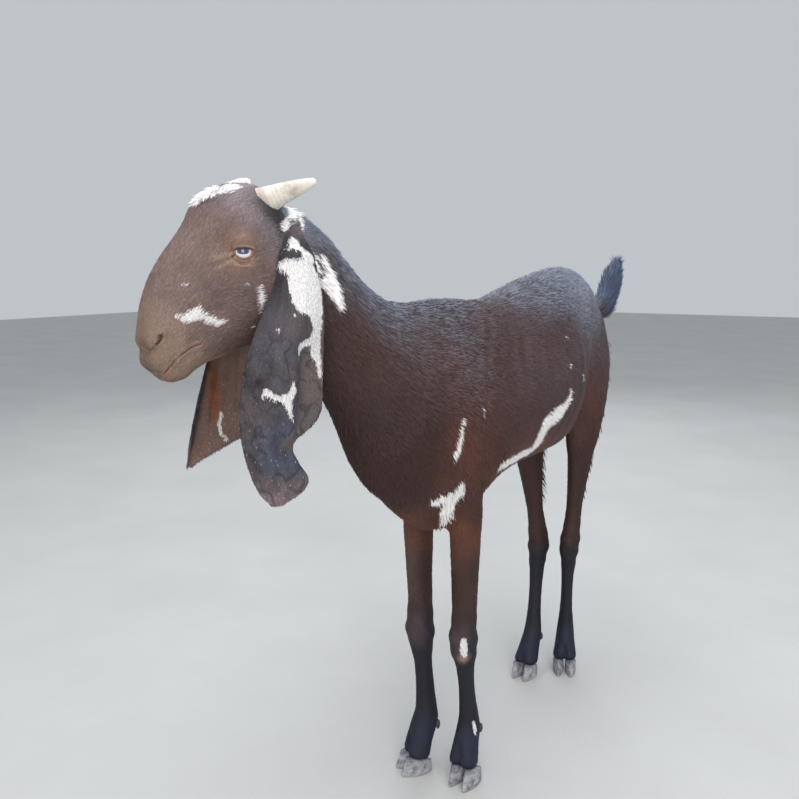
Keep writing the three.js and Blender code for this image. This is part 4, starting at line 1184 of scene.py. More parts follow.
class Finish(Web):
    """A material being made."""

    def __init__(self, name):
        self.material = bpy.data.materials.new(name)
        self.material.use_nodes = True
        super().__init__(self.material.node_tree)
        self.places = self.node("ShaderNodeTexCoord")

    def attribute(self, name):
        return self.node("ShaderNodeAttribute", {"attribute_name": name})

    def noise(self, place, scale, detail=2.0, rough=0.5, twist=0.0):
        node = self.node(
            "ShaderNodeTexNoise", None,
            {"Vector": place, "Scale": scale, "Detail": detail, "Roughness": rough, "Distortion": twist})
        return self.number(node.outputs["Fac"])

    def stretched(self, place, scale):
        return self.node("ShaderNodeMapping", None, {"Vector": place, "Scale": scale}).outputs[0]

    def mix(self, first, second, share):
        node = self.node("ShaderNodeMix", {"data_type": "RGBA"}, {0: share, 6: first, 7: second})
        return node.outputs[2]

    def brighter(self, colour, factor):
        """A colour times a number."""
        node = self.node("ShaderNodeVectorMath", {"operation": "SCALE"}, {0: colour, 3: factor})
        return node.outputs[0]

    def bump(self, height, strength, distance):
        node = self.node(
            "ShaderNodeBump", None, {"Height": height, "Strength": strength, "Distance": distance})
        return node.outputs["Normal"]

    def done(self, **sockets):
        """Joins the surface up: names are the shader's sockets with _ for spaces."""
        inputs = {name.replace("_", " "): value for name, value in sockets.items()}
        surface = self.node("ShaderNodeBsdfPrincipled", None, inputs)
        self.node("ShaderNodeOutputMaterial", None, {0: surface.outputs[0]})
        return self.material


def paint4(colour):
    return (*[float(c) for c in colour], 1.0)


WHITE_HAIR = rgb(250, 247, 246)


def marked_colour(web, place, lightness, stray=0.0):
    """Base colour with a painted sky sheen, painted shade in the ear's creases and ragged white patches,
    shared by the skin and the coat.
    """
    base = web.attribute("base").outputs["Color"]
    white = web.number(web.attribute("white").outputs["Fac"])
    frost = web.number(web.attribute("frost").outputs["Fac"])
    ragged = white + (web.noise(place, 190.0, 3.0, 0.6) - 0.5) * 5.5 + (web.noise(place, 60.0) - 0.5) * 3.5
    patch = (ragged + stray).ease(0.8, -0.8)
    clouded = web.noise(place, 14.0, 3.0, 0.6) * 0.6 + 0.7
    # Painted sheen: the blue-grey sky reflection mixed in as colour.
    base = web.mix(web.brighter(base, clouded), paint4(rgb(126, 134, 150)), frost * lightness)
    # Painted shade: thin dark lines in the ear's creases, where the wrinkle mask allows.
    ridge = web.noise(place, 26.0, 1.0) - 0.5
    crease = (ridge * ridge).ease(0.0005, 0.0) * web.number(web.attribute("wrinkle").outputs["Fac"])
    base = web.brighter(base, 1 - 0.46 * crease)
    return web.mix(base, paint4(WHITE_HAIR), patch), patch


def skin_finish():
    web = Finish("hide")
    place = web.places.outputs["Object"]
    colour, _ = marked_colour(web, place, 0.35)
    lie = web.node("ShaderNodeUVMap", {"uv_map": "lie"}).outputs[0]
    grain = web.noise(web.stretched(lie, (3200.0, 420.0, 1.0)), 1.0, 2.0)
    fine = web.noise(place, 900.0, 2.0)
    bare = web.number(web.attribute("bare").outputs["Fac"])
    colour = web.brighter(colour, (grain * 0.5 + 0.62) * (1 - 0.25 * (1 - bare)))
    rough = 0.62 - 0.22 * bare + (fine - 0.5) * 0.2
    relief = web.bump(grain * 0.8 + fine * 0.4, 0.5, 0.0008)
    return web.done(Base_Color=colour, Roughness=rough, Normal=relief, Specular_IOR_Level=0.4)


def coat_finish():
    web = Finish("coat")
    place = web.attribute("root").outputs["Vector"]
    shade = web.number(web.attribute("shade").outputs["Fac"])
    colour, patch = marked_colour(web, place, shade.ease(0.15, 0.95), (shade - 0.5) * 4.0)
    pale = shade.ease(0.984, 0.989) * web.number(web.attribute("speckle").outputs["Fac"])
    colour = web.mix(colour, paint4(rgb(214, 206, 202)), pale)
    tip = web.number(web.attribute("tip").outputs["Fac"])
    streak = web.noise(web.places.outputs["Object"], 700.0, 2.0)
    tone = (0.72 + 0.5 * shade) * (0.62 + 0.55 * tip) * (0.8 + 0.4 * streak)
    colour = web.brighter(colour, tone + patch * (1.08 - tone) * 0.6)
    rough = 0.44 + 0.22 * (1 - tip) + 0.12 * (shade - 0.5)
    relief = web.bump(streak, 0.25, 0.0005)
    return web.done(Base_Color=colour, Roughness=rough, Normal=relief, Specular_IOR_Level=0.38)


# ================================================================ coat: tufts over the skin
def tuft_mesh(name, rows):
    """One tuft along +Y, its root at the origin. Rows: along, half width, ridge height, edge height."""
    points, faces, tips, spots = [], [], [], []
    for along, half, ridge, edge in rows:
        start = len(points)
        if half == 0:
            points.append((0, along, ridge))
            spots.append((0.5, along, 0))
        else:
            points += [(-half, along, edge), (0, along, ridge), (half, along, edge)]
            spots += [(0.1, along, 0), (0.5, along, 0), (0.9, along, 0)]
        tips += [along] * (len(points) - start)
    rings, at = [], 0
    for row in rows:
        many = 1 if row[1] == 0 else 3
        rings.append(list(range(at, at + many)))
        at += many
    for low, high in zip(rings[:-1], rings[1:]):
        if len(low) == 1:
            faces += [(low[0], high[1], high[0]), (low[0], high[2], high[1])]
        elif len(high) == 1:
            faces += [(low[0], low[1], high[0]), (low[1], low[2], high[0])]
        else:
            faces += [(low[0], low[1], high[1], high[0]), (low[1], low[2], high[2], high[1])]
    piece = mesh_object(name, points, faces)
    mesh = piece.data
    tip = mesh.attributes.new("tip", "FLOAT", "POINT")
    tip.data.foreach_set("value", np.array(tips, np.float32))
    spot = mesh.attributes.new("spot", "FLOAT_VECTOR", "POINT")
    spot.data.foreach_set("vector", np.array(spots, np.float32).ravel())
    mesh.shade_smooth()
    return piece


def growth_tree(material):
    """Geometry Nodes that grow tufts from a sheet of skin."""
    tree = bpy.data.node_groups.new("growing coat", "GeometryNodeTree")
    web = Web(tree)
    face = tree.interface
    face.new_socket("Skin", in_out="INPUT", socket_type="NodeSocketGeometry")
    face.new_socket("Tuft", in_out="INPUT", socket_type="NodeSocketObject")
    settings = {"Crowding": 1.0, "Length": 1.0, "Width": 1.0, "Untidiness": 14.0, "Patch": 0.003}
    for label, value in settings.items():
        socket = face.new_socket(label, in_out="INPUT", socket_type="NodeSocketFloat")
        socket.default_value = value
    face.new_socket("Seed", in_out="INPUT", socket_type="NodeSocketInt").default_value = 1
    face.new_socket("Coat", in_out="OUTPUT", socket_type="NodeSocketGeometry")
    given = web.node("NodeGroupInput").outputs

    def named(name, kind):
        socket = web.node("GeometryNodeInputNamedAttribute", {"data_type": kind}, {0: name}).outputs[0]
        return web.number(socket) if kind == "FLOAT" else socket

    def chance(low, high, seed):
        seeds = web.node("ShaderNodeMath", {"operation": "ADD"}, {0: given["Seed"], 1: seed}).outputs[0]
        node = web.node("FunctionNodeRandomValue", {"data_type": "FLOAT"}, {2: low, 3: high, 8: seeds})
        return web.number(node.outputs[1])

    crowd = named("crowd", "FLOAT") * web.number(given["Crowding"])
    scattered = web.node(
        "GeometryNodeDistributePointsOnFaces", {"distribute_method": "RANDOM"},
        {0: given["Skin"], 4: crowd, 6: given["Seed"]})
    points = scattered.outputs[0]
    here = web.node("GeometryNodeInputPosition").outputs[0]
    for name, value in (("root", here), ("shade", chance(0.0, 1.0, 3))):
        kind = "FLOAT_VECTOR" if name == "root" else "FLOAT"
        points = web.node(
            "GeometryNodeStoreNamedAttribute", {"data_type": kind, "domain": "POINT"},
            {0: points, 2: name, 3: value}).outputs[0]
    upright = web.node(
        "FunctionNodeAlignRotationToVector", {"axis": "Z"},
        {"Vector": scattered.outputs["Normal"]}).outputs[0]
    lying = web.node(
        "FunctionNodeAlignRotationToVector", {"axis": "Y", "pivot_axis": "Z"},
        {"Rotation": upright, "Vector": named("lie", "FLOAT_VECTOR")}).outputs[0]
    mess = web.number(given["Untidiness"])
    degree = radians(1)
    lift = (named("lift", "FLOAT") + chance(-0.35, 0.35, 5) * mess) * degree
    turn = chance(-1.0, 1.0, 7) * mess * degree
    roll = chance(-1.2, 1.2, 9) * mess * degree
    tilt = web.node("ShaderNodeCombineXYZ", None, {0: lift, 1: roll, 2: turn}).outputs[0]
    tilt = web.node("FunctionNodeEulerToRotation", None, {0: tilt}).outputs[0]
    placed = web.node(
        "FunctionNodeRotateRotation", {"rotation_space": "LOCAL"}, {0: lying, 1: tilt}).outputs[0]
    long = named("length", "FLOAT") * web.number(given["Length"]) * chance(0.7, 1.25, 11)
    wide = named("width", "FLOAT") * web.number(given["Width"]) * chance(0.75, 1.3, 13)
    size = web.node("ShaderNodeCombineXYZ", None, {0: wide, 1: long, 2: long}).outputs[0]
    tuft = web.node("GeometryNodeObjectInfo", None, {0: given["Tuft"]}).outputs["Geometry"]
    grown = web.node(
        "GeometryNodeInstanceOnPoints", None, {0: points, 2: tuft, 5: placed, 6: size}).outputs[0]
    whole = web.node("GeometryNodeRealizeInstances", None, {0: grown}).outputs[0]
    spot = web.node(
        "ShaderNodeVectorMath", {"operation": "SCALE"},
        {0: named("spot", "FLOAT_VECTOR"), 3: given["Patch"]}).outputs[0]
    bake = web.node(
        "ShaderNodeVectorMath", {"operation": "ADD"},
        {0: named("lie_map", "FLOAT_VECTOR"), 1: spot}).outputs[0]
    whole = web.node(
        "GeometryNodeStoreNamedAttribute", {"data_type": "FLOAT2", "domain": "CORNER"},
        {0: whole, 2: "OFBake", 3: bake}).outputs[0]
    whole = web.node("GeometryNodeSetMaterial", None, {0: whole, 2: material}).outputs[0]
    web.node("NodeGroupOutput", None, {0: whole})
    return tree


def sheet_of(name, skin, faces_kept):
    """A copy of part of the skin, to grow tufts from, with its unwrap spread over the whole square."""
    piece = bpy.data.objects.new(name, skin.data.copy())
    bpy.context.scene.collection.objects.link(piece)
    work = bmesh.new()
    work.from_mesh(piece.data)
    work.faces.ensure_lookup_table()
    bmesh.ops.delete(work, geom=[work.faces[n] for n in np.nonzero(~faces_kept)[0]], context="FACES")
    work.to_mesh(piece.data)
    work.free()
    mesh = piece.data
    count = len(mesh.loops)
    chart = np.empty(count * 2, np.float32)
    mesh.uv_layers["lie_uv"].uv.foreach_get("vector", chart)
    chart = chart.reshape(-1, 2)
    low, high = chart.min(0), chart.max(0)
    chart = 0.004 + (chart - low) / (high - low).max() * 0.988
    spread = mesh.attributes.new("lie_map", "FLOAT_VECTOR", "CORNER")
    spread.data.foreach_set("vector", np.c_[chart, 0 * chart[:, 0]].astype(np.float32).ravel())
    return piece


def sheet_total(mesh, name):
    """An attribute added up over a mesh's area."""
    values = np.empty(len(mesh.vertices), np.float32)
    mesh.attributes[name].data.foreach_get("value", values)
    mesh.calc_loop_triangles()
    tri = np.empty(len(mesh.loop_triangles) * 3, np.int32)
    mesh.loop_triangles.foreach_get("vertices", tri)
    area = np.empty(len(mesh.loop_triangles), np.float32)
    mesh.loop_triangles.foreach_get("area", area)
    return float((values[tri.reshape(-1, 3)].mean(1) * area).sum())


def grow(piece, tree, tuft, tufts, seed, **sizes):
    """Replaces a sheet of skin by the tufts on it."""
    growth = piece.modifiers.new("coat", "NODES")
    growth.node_group = tree
    crowding = tufts / max(sheet_total(piece.data, "crowd"), 1e-9)
    values = {"Tuft": tuft, "Crowding": crowding, "Seed": seed, **sizes}
    for item in tree.interface.items_tree:
        if item.in_out == "INPUT" and item.name in values:
            growth[item.identifier] = values[item.name]
    mesh = settled(piece)
    for name in ("crowd", "length", "width", "lift", "lie", "spot", "lie_map", "bare", "lie_uv"):
        if name in mesh.attributes:
            mesh.attributes.remove(mesh.attributes[name])
    mesh.shade_smooth()
    return piece


# ================================================================ eyes, horns and hooves
def ringed(name, rings):
    """A closed body through rings of equal counts."""
    count = len(rings[0])
    points = [tuple(p) for ring in rings for p in ring]
    faces = []
    for r in range(len(rings) - 1):
        for s in range(count):
            n = (s + 1) % count
            faces.append((r * count + s, r * count + n, (r + 1) * count + n, (r + 1) * count + s))
    faces.append(tuple(range(count))[::-1])
    faces.append(tuple(range((len(rings) - 1) * count, len(rings) * count)))
    piece = mesh_object(name, points, faces)
    face_outwards(piece)
    piece.data.shade_smooth()
    return piece


def add_numbers(mesh, name, values, kind="FLOAT"):
    attribute = mesh.attributes.new(name, kind, "POINT")
    slot_name = {"FLOAT": "value", "FLOAT_VECTOR": "vector", "FLOAT_COLOR": "color"}[kind]
    attribute.data.foreach_set(slot_name, np.ascontiguousarray(values, np.float32).ravel())


def make_eye(word, side):
    """An eyeball; each point knows its place ahead, up and out as seen along the gaze, in millimetres."""
    centre, gaze, ahead, up = eye_axes(side)
    rings, looks = [], []
    rows, spokes = 40, 64
    for n in range(rows):
        angle = math.pi * (n + 0.35) / (rows - 0.3)
        ring = []
        for s in range(spokes):
            turn = 2 * math.pi * s / spokes
            wide = math.sin(angle)
            local = np.array([wide * math.cos(turn), wide * math.sin(turn), math.cos(angle)])
            bulge = 1 + 0.035 * math.exp(-((angle / 0.5) ** 2))
            looks.append(local * 14)
            way = ahead * local[0] + up * local[1] + gaze * local[2]
            ring.append(centre + way * EYE_RADIUS * 0.985 * bulge)
        rings.append(ring)
    piece = ringed("eyeball_" + word, rings)
    add_numbers(piece.data, "look", np.array(looks), "FLOAT_VECTOR")
    return piece


HORN = dict(length=66, across=13.4, deep=20.4, tip=3.5, back=53, out=42, up=-17, curve=3)
HORN_ROOTS = {"left": (34, -4, -11), "right": (30, -2, 6)}


def make_horn(word, side):
    """A blunt swept-back horn with growth rings, each less marked towards the tip."""
    way = unit(np.array([side * HORN["out"], -HORN["back"], HORN["up"]], float))
    root = np.array(HORN_ROOTS[word]) * [side, 1, 1]
    sag = np.array([0, -0.35, -0.94])
    across = unit(np.cross(way, [0, 0, 1]))
    deep = unit(np.cross(across, way))
    rings, marks = [], []
    rows, spokes = 90, 40
    for n in range(rows):
        t = n / (rows - 1)
        along = -10 + t * (HORN["length"] + 10)
        centre = root + way * along + sag * HORN["curve"] * t * t
        taper = (1 - t) ** 0.72
        tip = 1 if t < 0.965 else math.sqrt(max(1 - ((t - 0.965) / 0.035) ** 2, 0.0025))
        wave = math.sin(along / 5.6 * 2 * math.pi + 0.8 * math.sin(along / 9))
        ring_height = (0.14 * wave - 0.1) * (1 - t) ** 0.6 - 0.5
        ring = []
        for s in range(spokes):
            turn = 2 * math.pi * s / spokes
            uneven = 1 + 0.03 * math.sin(2 * turn + 5 * t) + 0.012 * math.sin(7 * turn + 11 * t)
            lift = ring_height * (0.7 + 0.3 * math.cos(turn + 0.6))
            a = (HORN["tip"] + (HORN["across"] - HORN["tip"]) * taper + lift) * tip * uneven
            b = (HORN["tip"] + (HORN["deep"] - HORN["tip"]) * taper + lift) * tip * uneven
            ring.append(from_head((centre + across * math.cos(turn) * a + deep * math.sin(turn) * b) * MM))
            marks.append((t, turn, wave))
        rings.append(ring)
    piece = ringed("horn_sheath_" + word, rings)
    add_numbers(piece.data, "growth", np.array(marks), "FLOAT_VECTOR")
    return piece


HOOF = dict(toe=38, heel=27, top_toe=25.5, top_heel=25, half=12.8, apart=13.9, rake=0.27)
CORONETS = {
    "fore_left": (82, -115, 29, 0), "fore_right": (-13, -138, 29, -32),
    "hind_left": (64, 359, 29, 25), "hind_right": (-2, 290, 29, 0),
}


def make_claws(leg):
    """Both claws and both dewclaws of a foot."""
    joint = CORONETS[leg]
    spin = turned("Z", radians(joint[3]))
    pieces = []
    for word, side in (("outer", 1), ("inner", -1)):
        rings = []
        heights = [0, 0.03, 0.09, *np.linspace(0.15, 0.95, 22), 0.985, 1.0]
        for t in heights:
            ring = []
            for s in range(56):
                turn = 2 * math.pi * s / 56
                ahead = math.cos(turn)
                low, high = ("toe", "top_toe") if ahead > 0 else ("heel", "top_heel")
                reach = HOOF[low] + (HOOF[high] - HOOF[low]) * t
                taper = 1 - 0.35 * ahead * ahead if ahead > 0 else 1 - 0.12 * ahead * ahead
                sole = 0.93 + 0.07 * smooth(np.array(t), 0, 0.09)
                brow = 0.985 if t < 0.98 else 0.9
                ridge = 0.28 * math.sin(t * 26 + 0.9 * math.sin(2 * turn)) * (0.15 < t < 0.95)
                x = (HOOF["half"] * taper * sole * brow - 0.5 + ridge) * math.sin(turn) + side * HOOF["apart"]
                forward = (reach * sole * brow - 0.4 + ridge) * ahead
                high = t * (joint[2] - 0.3 + HOOF["rake"] * forward)
                point = spin @ [x, -forward, high]
                ring.append((point + [joint[0], joint[1], 0]) * MM)
            rings.append(ring)
        pieces.append((ringed(f"{leg}_claw_{word}", rings), f"{leg}_hoof_{word}"))
        pieces.append((make_dewclaw(leg, word), f"{leg}_dewclaw_{word}"))
    return pieces


def make_dewclaw(leg, word):
    """A blunt oval nub round the line of its CAD node."""
    low, high = (np.array(v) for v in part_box(f"{leg}_dewclaw_{word}"))
    centre, half = (low + high) / 2, (high - low) / 2 * 0.93
    rings = []
    for n in range(15):
        angle = math.pi * (n + 0.4) / 14.8
        ring = []
        for s in range(24):
            turn = 2 * math.pi * s / 24
            crease = 1 - 0.03 * math.cos(9 * angle)
            x = math.sin(angle) * math.cos(turn) * crease
            y = math.sin(angle) * math.sin(turn) * crease
            point = np.array([x * half[0], y * half[1], math.cos(angle) * half[2]])
            ring.append(centre + point * (0.9 if n else 1.0))
        rings.append(ring)
    return ringed(f"{leg}_dew_{word}", rings)


def eye_finish():
    web = Finish("eye")
    look = web.attribute("look").outputs["Vector"]
    split = web.node("ShaderNodeSeparateXYZ", None, {0: look}).outputs
    ahead, up = (web.number(split[n]) for n in range(2))
    across = ((ahead - 0.6) / 7.6).math("ABSOLUTE") ** 2.6
    tall = ((up - 2.4) / 4.6).math("ABSOLUTE") ** 2.6
    pupil = (across + tall) ** (1 / 2.6)
    iris = (ahead**2 + up**2).math("SQRT")
    rays = web.noise(web.stretched(look, (0.5, 0.5, 0.2)), 2.4, 4.0, 0.7)
    streaks = web.noise(look, 1.1, 3.0, 0.6)
    pale = web.mix(paint4(rgb(214, 222, 228)), paint4(rgb(240, 240, 236)), rays)
    pale = web.mix(pale, paint4(rgb(232, 206, 208)), iris.ease(8.6, 10.4) * 0.7)
    pale = web.mix(pale, paint4(rgb(176, 130, 122)), iris.ease(11.4, 12.6) * streaks.ease(0.4, 0.7))
    colour = web.mix(pale, paint4(rgb(112, 106, 132)), pupil.ease(1.12, 0.96))
    colour = web.mix(colour, paint4(rgb(58, 55, 82)), pupil.ease(0.92, 0.7))
    return web.done(
        Base_Color=colour, Roughness=0.10 + 0.06 * rays, Coat_Weight=1.0, Coat_Roughness=0.03,
        Specular_IOR_Level=0.5, Normal=web.bump(streaks, 0.05, 0.0003))


def horn_finish():
    web = Finish("horn")
    split = web.node("ShaderNodeSeparateXYZ", None, {0: web.attribute("growth").outputs["Vector"]}).outputs
    share, wave = (web.number(split[n]) for n in (0, 2))
    place = web.places.outputs["Object"]
    cloud = web.noise(place, 70.0, 3.0, 0.6)
    scratch = web.noise(place, 420.0, 4.0, 0.7)
    drawn_out = web.stretched(web.attribute("growth").outputs["Vector"], (9.0, 26.0, 0.0))
    fibre = web.noise(drawn_out, 1.0, 4.0, 0.6)
    colour = web.mix(paint4(rgb(228, 220, 210)), paint4(rgb(186, 172, 160)), cloud.ease(0.4, 0.8))
    colour = web.mix(colour, paint4(rgb(150, 134, 120)), wave.ease(0.0, -1.0) * (1 - share) * 0.22)
    colour = web.mix(colour, paint4(rgb(176, 156, 142)), share.ease(0.2, 0.06) * 0.6)
    colour = web.mix(colour, paint4(rgb(246, 242, 234)), share.ease(0.6, 1.0) * 0.6)
    colour = web.brighter(colour, 0.72 + 0.3 * scratch + 0.34 * fibre)
    relief = web.bump(scratch + fibre + 0.2 * wave, 0.4, 0.0006)
    return web.done(Base_Color=colour, Roughness=0.42 + 0.25 * scratch, Normal=relief, Specular_IOR_Level=0.4)


def hoof_finish():
    web = Finish("hoof")
    place = web.places.outputs["Object"]
    split = web.node("ShaderNodeSeparateXYZ", None, {0: place}).outputs
    high = web.number(split[2])
    cloud = web.noise(place, 90.0, 3.0, 0.65)
    rings = web.noise(web.stretched(place, (30.0, 30.0, 420.0)), 1.0, 2.0)
    scuff = web.noise(place, 380.0, 4.0, 0.7)
    colour = web.mix(paint4(rgb(172, 172, 178)), paint4(rgb(112, 110, 118)), cloud.ease(0.35, 0.7))
    colour = web.mix(colour, paint4(rgb(206, 204, 206)), scuff.ease(0.55, 0.75) * 0.7)
    colour = web.mix(colour, paint4(rgb(86, 84, 94)), high.ease(0.024, 0.034) * 0.6)
    colour = web.mix(colour, paint4(rgb(168, 160, 150)), high.ease(0.006, 0.0) * 0.6)
    colour = web.mix(colour, paint4(rgb(58, 55, 60)), high.ease(0.05, 0.06) * 0.85)
    colour = web.brighter(colour, 0.75 + 0.5 * rings)
    relief = web.bump(rings + 0.6 * scuff, 0.5, 0.0007)
    return web.done(Base_Color=colour, Roughness=0.55 + 0.3 * scuff, Normal=relief, Specular_IOR_Level=0.35)


def floor_finish():
    web = Finish("pale floor")
    place = web.places.outputs["Object"]
    cloud = web.noise(place, 2.2, 4.0, 0.6)
    grit = web.noise(place, 160.0, 3.0, 0.7)
    colour = web.mix(paint4(rgb(202, 202, 200)), paint4(rgb(184, 183, 181)), cloud)
    colour = web.brighter(colour, 0.95 + 0.1 * grit)
    return web.done(Base_Color=colour, Roughness=0.8 + 0.1 * grit, Normal=web.bump(grit, 0.1, 0.001))


# ================================================================ making the goat
skin, ear = build_skin()
skin_points, skin_normals, skin_edges = mesh_arrays(skin.data)
coat = describe(skin_points, skin_normals, skin_edges, ear)
skin_faces = np.empty(len(skin.data.polygons) * 3, np.int32)
skin.data.polygons.foreach_get("vertices", skin_faces)
skin_faces = skin_faces.reshape(-1, 3)
skin_labels = label_points(skin_points, ear)
face_labels = np.array(LABELS)[skin_labels[skin_faces[:, 0]]]

layer = skin.data.uv_layers.new(name="lie_uv")
layer.uv.foreach_set("vector", unwrap(skin_points, skin_faces, skin_labels).astype(np.float32).ravel())
add_numbers(skin.data, "base", np.c_[coat["colour"], np.ones(len(skin_points))], "FLOAT_COLOR")
add_numbers(skin.data, "lie", coat["lie"], "FLOAT_VECTOR")
for name in ("white", "bare", "lift", "frost", "speckle", "wrinkle"):
    add_numbers(skin.data, name, coat[name])
add_numbers(skin.data, "length", coat["length"] * MM)
add_numbers(skin.data, "width", coat["width"] * MM)
add_numbers(skin.data, "crowd", coat["crowd"])
skin.data.shade_smooth()

hide, fur = skin_finish(), coat_finish()
leaf = tuft_mesh("leaf", [(-0.03, 0, -0.03, 0), (0.38, 0.5, 0.035, -0.01), (1.0, 0, 0.0, 0)])
lock = tuft_mesh(
    "lock", [(-0.05, 0.3, 0.0, -0.03), (0.3, 0.5, 0.06, 0.02), (0.68, 0.36, 0.07, 0.04), (1.0, 0, 0.02, 0)])
tree = growth_tree(fur)

x_faces, y_faces, _ = skin_points[skin_faces].mean(1).T
on_trunk = face_labels == "trunk"
is_ear = np.char.startswith(face_labels, "ear")
is_fore = np.char.startswith(face_labels, "fore")
is_hind = np.char.startswith(face_labels, "hind")
left_side = x_faces > MIDLINE * MM
at_front = y_faces < 120 * MM
# faces to cover and how many tufts on them
SHEETS = {
    "coat_left_front": (on_trunk & left_side & at_front, 38000),
    "coat_left_rear": (on_trunk & left_side & ~at_front, 38000),
    "coat_right_front": (on_trunk & ~left_side & at_front, 34000),
    "coat_right_rear": (on_trunk & ~left_side & ~at_front, 34000),
    "coat_neck": (face_labels == "neck", 42000),
    "coat_head": (face_labels == "head", 46000),
    "coat_ears": (is_ear, 38000),
    "coat_fore_legs": (is_fore, 28000),
    "coat_hind_legs": (is_hind, 30000),
}
coats = []
for seed, (name, (faces_kept, tufts)) in enumerate(SHEETS.items()):
    coats.append(grow(sheet_of(name, skin, faces_kept), tree, leaf, tufts, seed + 1))

# longer hair: the tail's brush, forehead, poll, throat, crest, croup, backs of the thighs, armpit and belly
spot = skin_points / MM
_, py, pz = spot.T
_, ny, nz = skin_normals.T
h_side, h_along, h_rise = (to_head(skin_points) / MM).T
not_ear = ear["share"] < 0
brush = smooth(py, 525, 548) * smooth(pz, 800, 815)
forelock = forelock_share(h_side, h_along, h_rise) * not_ear * smooth(coat["white"], 3, 0)
poll_gap = np.linalg.norm(np.c_[h_side / 1.6, h_along - 2, h_rise - 22], axis=1)
poll = np.exp(-((poll_gap / 18) ** 4)) * not_ear
horn_gap = np.linalg.norm(np.c_[np.abs(h_side) - 34, h_along + 28, h_rise + 16], axis=1)
behind_horn = np.exp(-((horn_gap / 22) ** 4)) * not_ear
throat = smooth(h_rise, -108, -128) * smooth(h_along, 20, 40) * smooth(h_along, 140, 110)
throat = throat * not_ear * (pz > 740) * (py < -400)
crest = smooth(nz + 0.5 * ny, 0.45, 0.95) * smooth(py, -180, -240) * smooth(py, -450, -430) * not_ear
croup = smooth(nz, 0.75, 0.97) * smooth(py, 250, 340)
thigh = smooth(ny, 0.35, 0.8) * smooth(py, 300, 330) * smooth(pz, 380, 450) * smooth(pz, 800, 740)
armpit = np.exp(-(chain_distance(spot, [(99, -188, 563, 0), (75, -179, 510, 0)]) / 16) ** 2)
belly = smooth(-nz, 0.5, 0.9) * smooth(pz, 470, 490) * smooth(py, -60, 0) * smooth(py, 330, 270)
LONG = [  # where, tufts for each square metre, length, width, lift
    (brush, 300000, 31, 1.8, 17), (forelock, 150000, 11.5, 1.3, 12), (poll, 40000, 9, 1.1, 7),
    (behind_horn, 90000, 14, 1.3, 9), (throat, 60000, 18, 1.4, 14), (crest, 30000, 17, 1.5, 7),
    (croup, 14000, 18, 1.6, 7), (thigh, 34000, 24, 1.7, 21), (armpit, 60000, 20, 1.5, 12),
    (belly, 8000, 14, 1.6, 7),
]
FEWEST_LOCKS = 2500  # for each square metre; fewer are left out
MOST_LOCKS, LOCK_SEED = 19000, 40
long_sheet = sheet_of("coat_long", skin, np.ones(len(skin_faces), bool))
amount, reach, wide, stand = (np.zeros(len(skin_points)) for _ in range(4))
for where, many, length, width, lift in LONG:
    stronger = where * many > amount
    amount = np.where(stronger, where * many, amount)
    reach = np.where(stronger, length, reach)
    wide = np.where(stronger, width, wide)
    stand = np.where(stronger, lift, stand)
amount = np.where(amount > FEWEST_LOCKS, amount, 0)
for name, values in (("crowd", amount), ("length", reach * MM), ("width", wide * MM), ("lift", stand)):
    long_sheet.data.attributes[name].data.foreach_set("value", values.astype(np.float32))
long_total = sheet_total(long_sheet.data, "crowd")
coats.append(grow(long_sheet, tree, lock, min(long_total, MOST_LOCKS), LOCK_SEED, Untidiness=20.0))

for prototype in (leaf, lock):
    drop(prototype)
for name in ("crowd", "length", "width", "lift", "lie"):
    skin.data.attributes.remove(skin.data.attributes[name])
skin.data.uv_layers["lie_uv"].name = "lie"
skin.data.materials.clear()
skin.data.materials.append(hide)

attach(skin, "root")
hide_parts(*FLESH)
for piece in coats:
    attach(piece, "root")

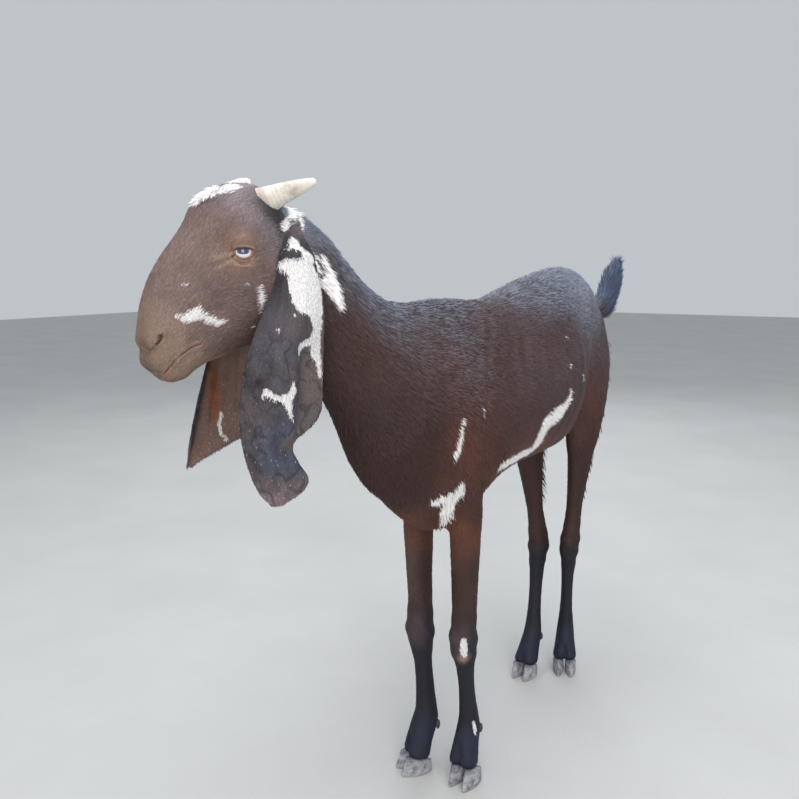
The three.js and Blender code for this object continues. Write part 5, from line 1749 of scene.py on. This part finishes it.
eye_look, horn_look, hoof_look = eye_finish(), horn_finish(), hoof_finish()
for word, side in (("left", 1), ("right", -1)):
    for piece, node, look, slot in (
        (make_eye(word, side), "eye_" + word, eye_look, "eye"),
        (make_horn(word, side), "horn_" + word, horn_look, "horn"),
    ):
        piece.data.materials.append(look)
        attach(piece, "root")
        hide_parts(node)
for leg in LEGS:
    for piece, node in make_claws(leg):
        piece.data.materials.append(hoof_look)
        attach(piece, "root")
        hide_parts(node)

# ================================================================ floor, light and camera
floor = mesh_object("floor", [(-14, -14, 0), (14, -14, 0), (14, 14, 0), (-14, 14, 0)], [(0, 1, 2, 3)])
floor.data.materials.append(floor_finish())

bpy.context.scene.view_settings.view_transform = "Standard"
sky = bpy.data.worlds.new("studio")
sky.use_nodes = True
sky.node_tree.nodes["Background"].inputs[0].default_value = (0.90, 0.95, 1.0, 1.0)
sky.node_tree.nodes["Background"].inputs[1].default_value = 0.58
bpy.context.scene.world = sky


def soft_light(name, place, aim, size, power, colour):
    lamp = bpy.data.lights.new(name, "AREA")
    lamp.size, lamp.energy, lamp.color = size, power, colour
    holder = bpy.data.objects.new(name, lamp)
    holder.location = place
    holder.rotation_euler = (Vector(aim) - Vector(place)).to_track_quat("-Z", "Y").to_euler()
    bpy.context.scene.collection.objects.link(holder)


soft_light("overhead", (0.4, -0.6, 3.6), (0, 0, 0.6), 3.0, 95, (0.94, 0.97, 1.0))
soft_light("front", (2.6, -3.4, 2.2), (0, -0.1, 0.7), 2.4, 82, (1.0, 0.96, 0.92))
soft_light("rear", (-1.8, 3.0, 2.6), (0, 0, 0.7), 2.4, 40, (0.92, 0.96, 1.0))

CAMERA_PLACE = (0.7491, -1.2421, 0.930)
CAMERA_TURN, CAMERA_DROP, CAMERA_ROLL = radians(35.73), radians(9.6), radians(0.45)
LENS_LENGTH, SENSOR_WIDTH = 35.37, 36.0
lens = bpy.data.cameras.new("camera")
lens.lens, lens.sensor_width = LENS_LENGTH, SENSOR_WIDTH
camera = bpy.data.objects.new("camera", lens)
camera.location = CAMERA_PLACE
aim = (
    Matrix.Rotation(CAMERA_TURN, 3, "Z")
    @ Matrix.Rotation(math.pi / 2 - CAMERA_DROP, 3, "X")
    @ Matrix.Rotation(-CAMERA_ROLL, 3, "Z")
)
camera.rotation_euler = aim.to_euler()
bpy.context.scene.collection.objects.link(camera)
bpy.context.scene.camera = camera
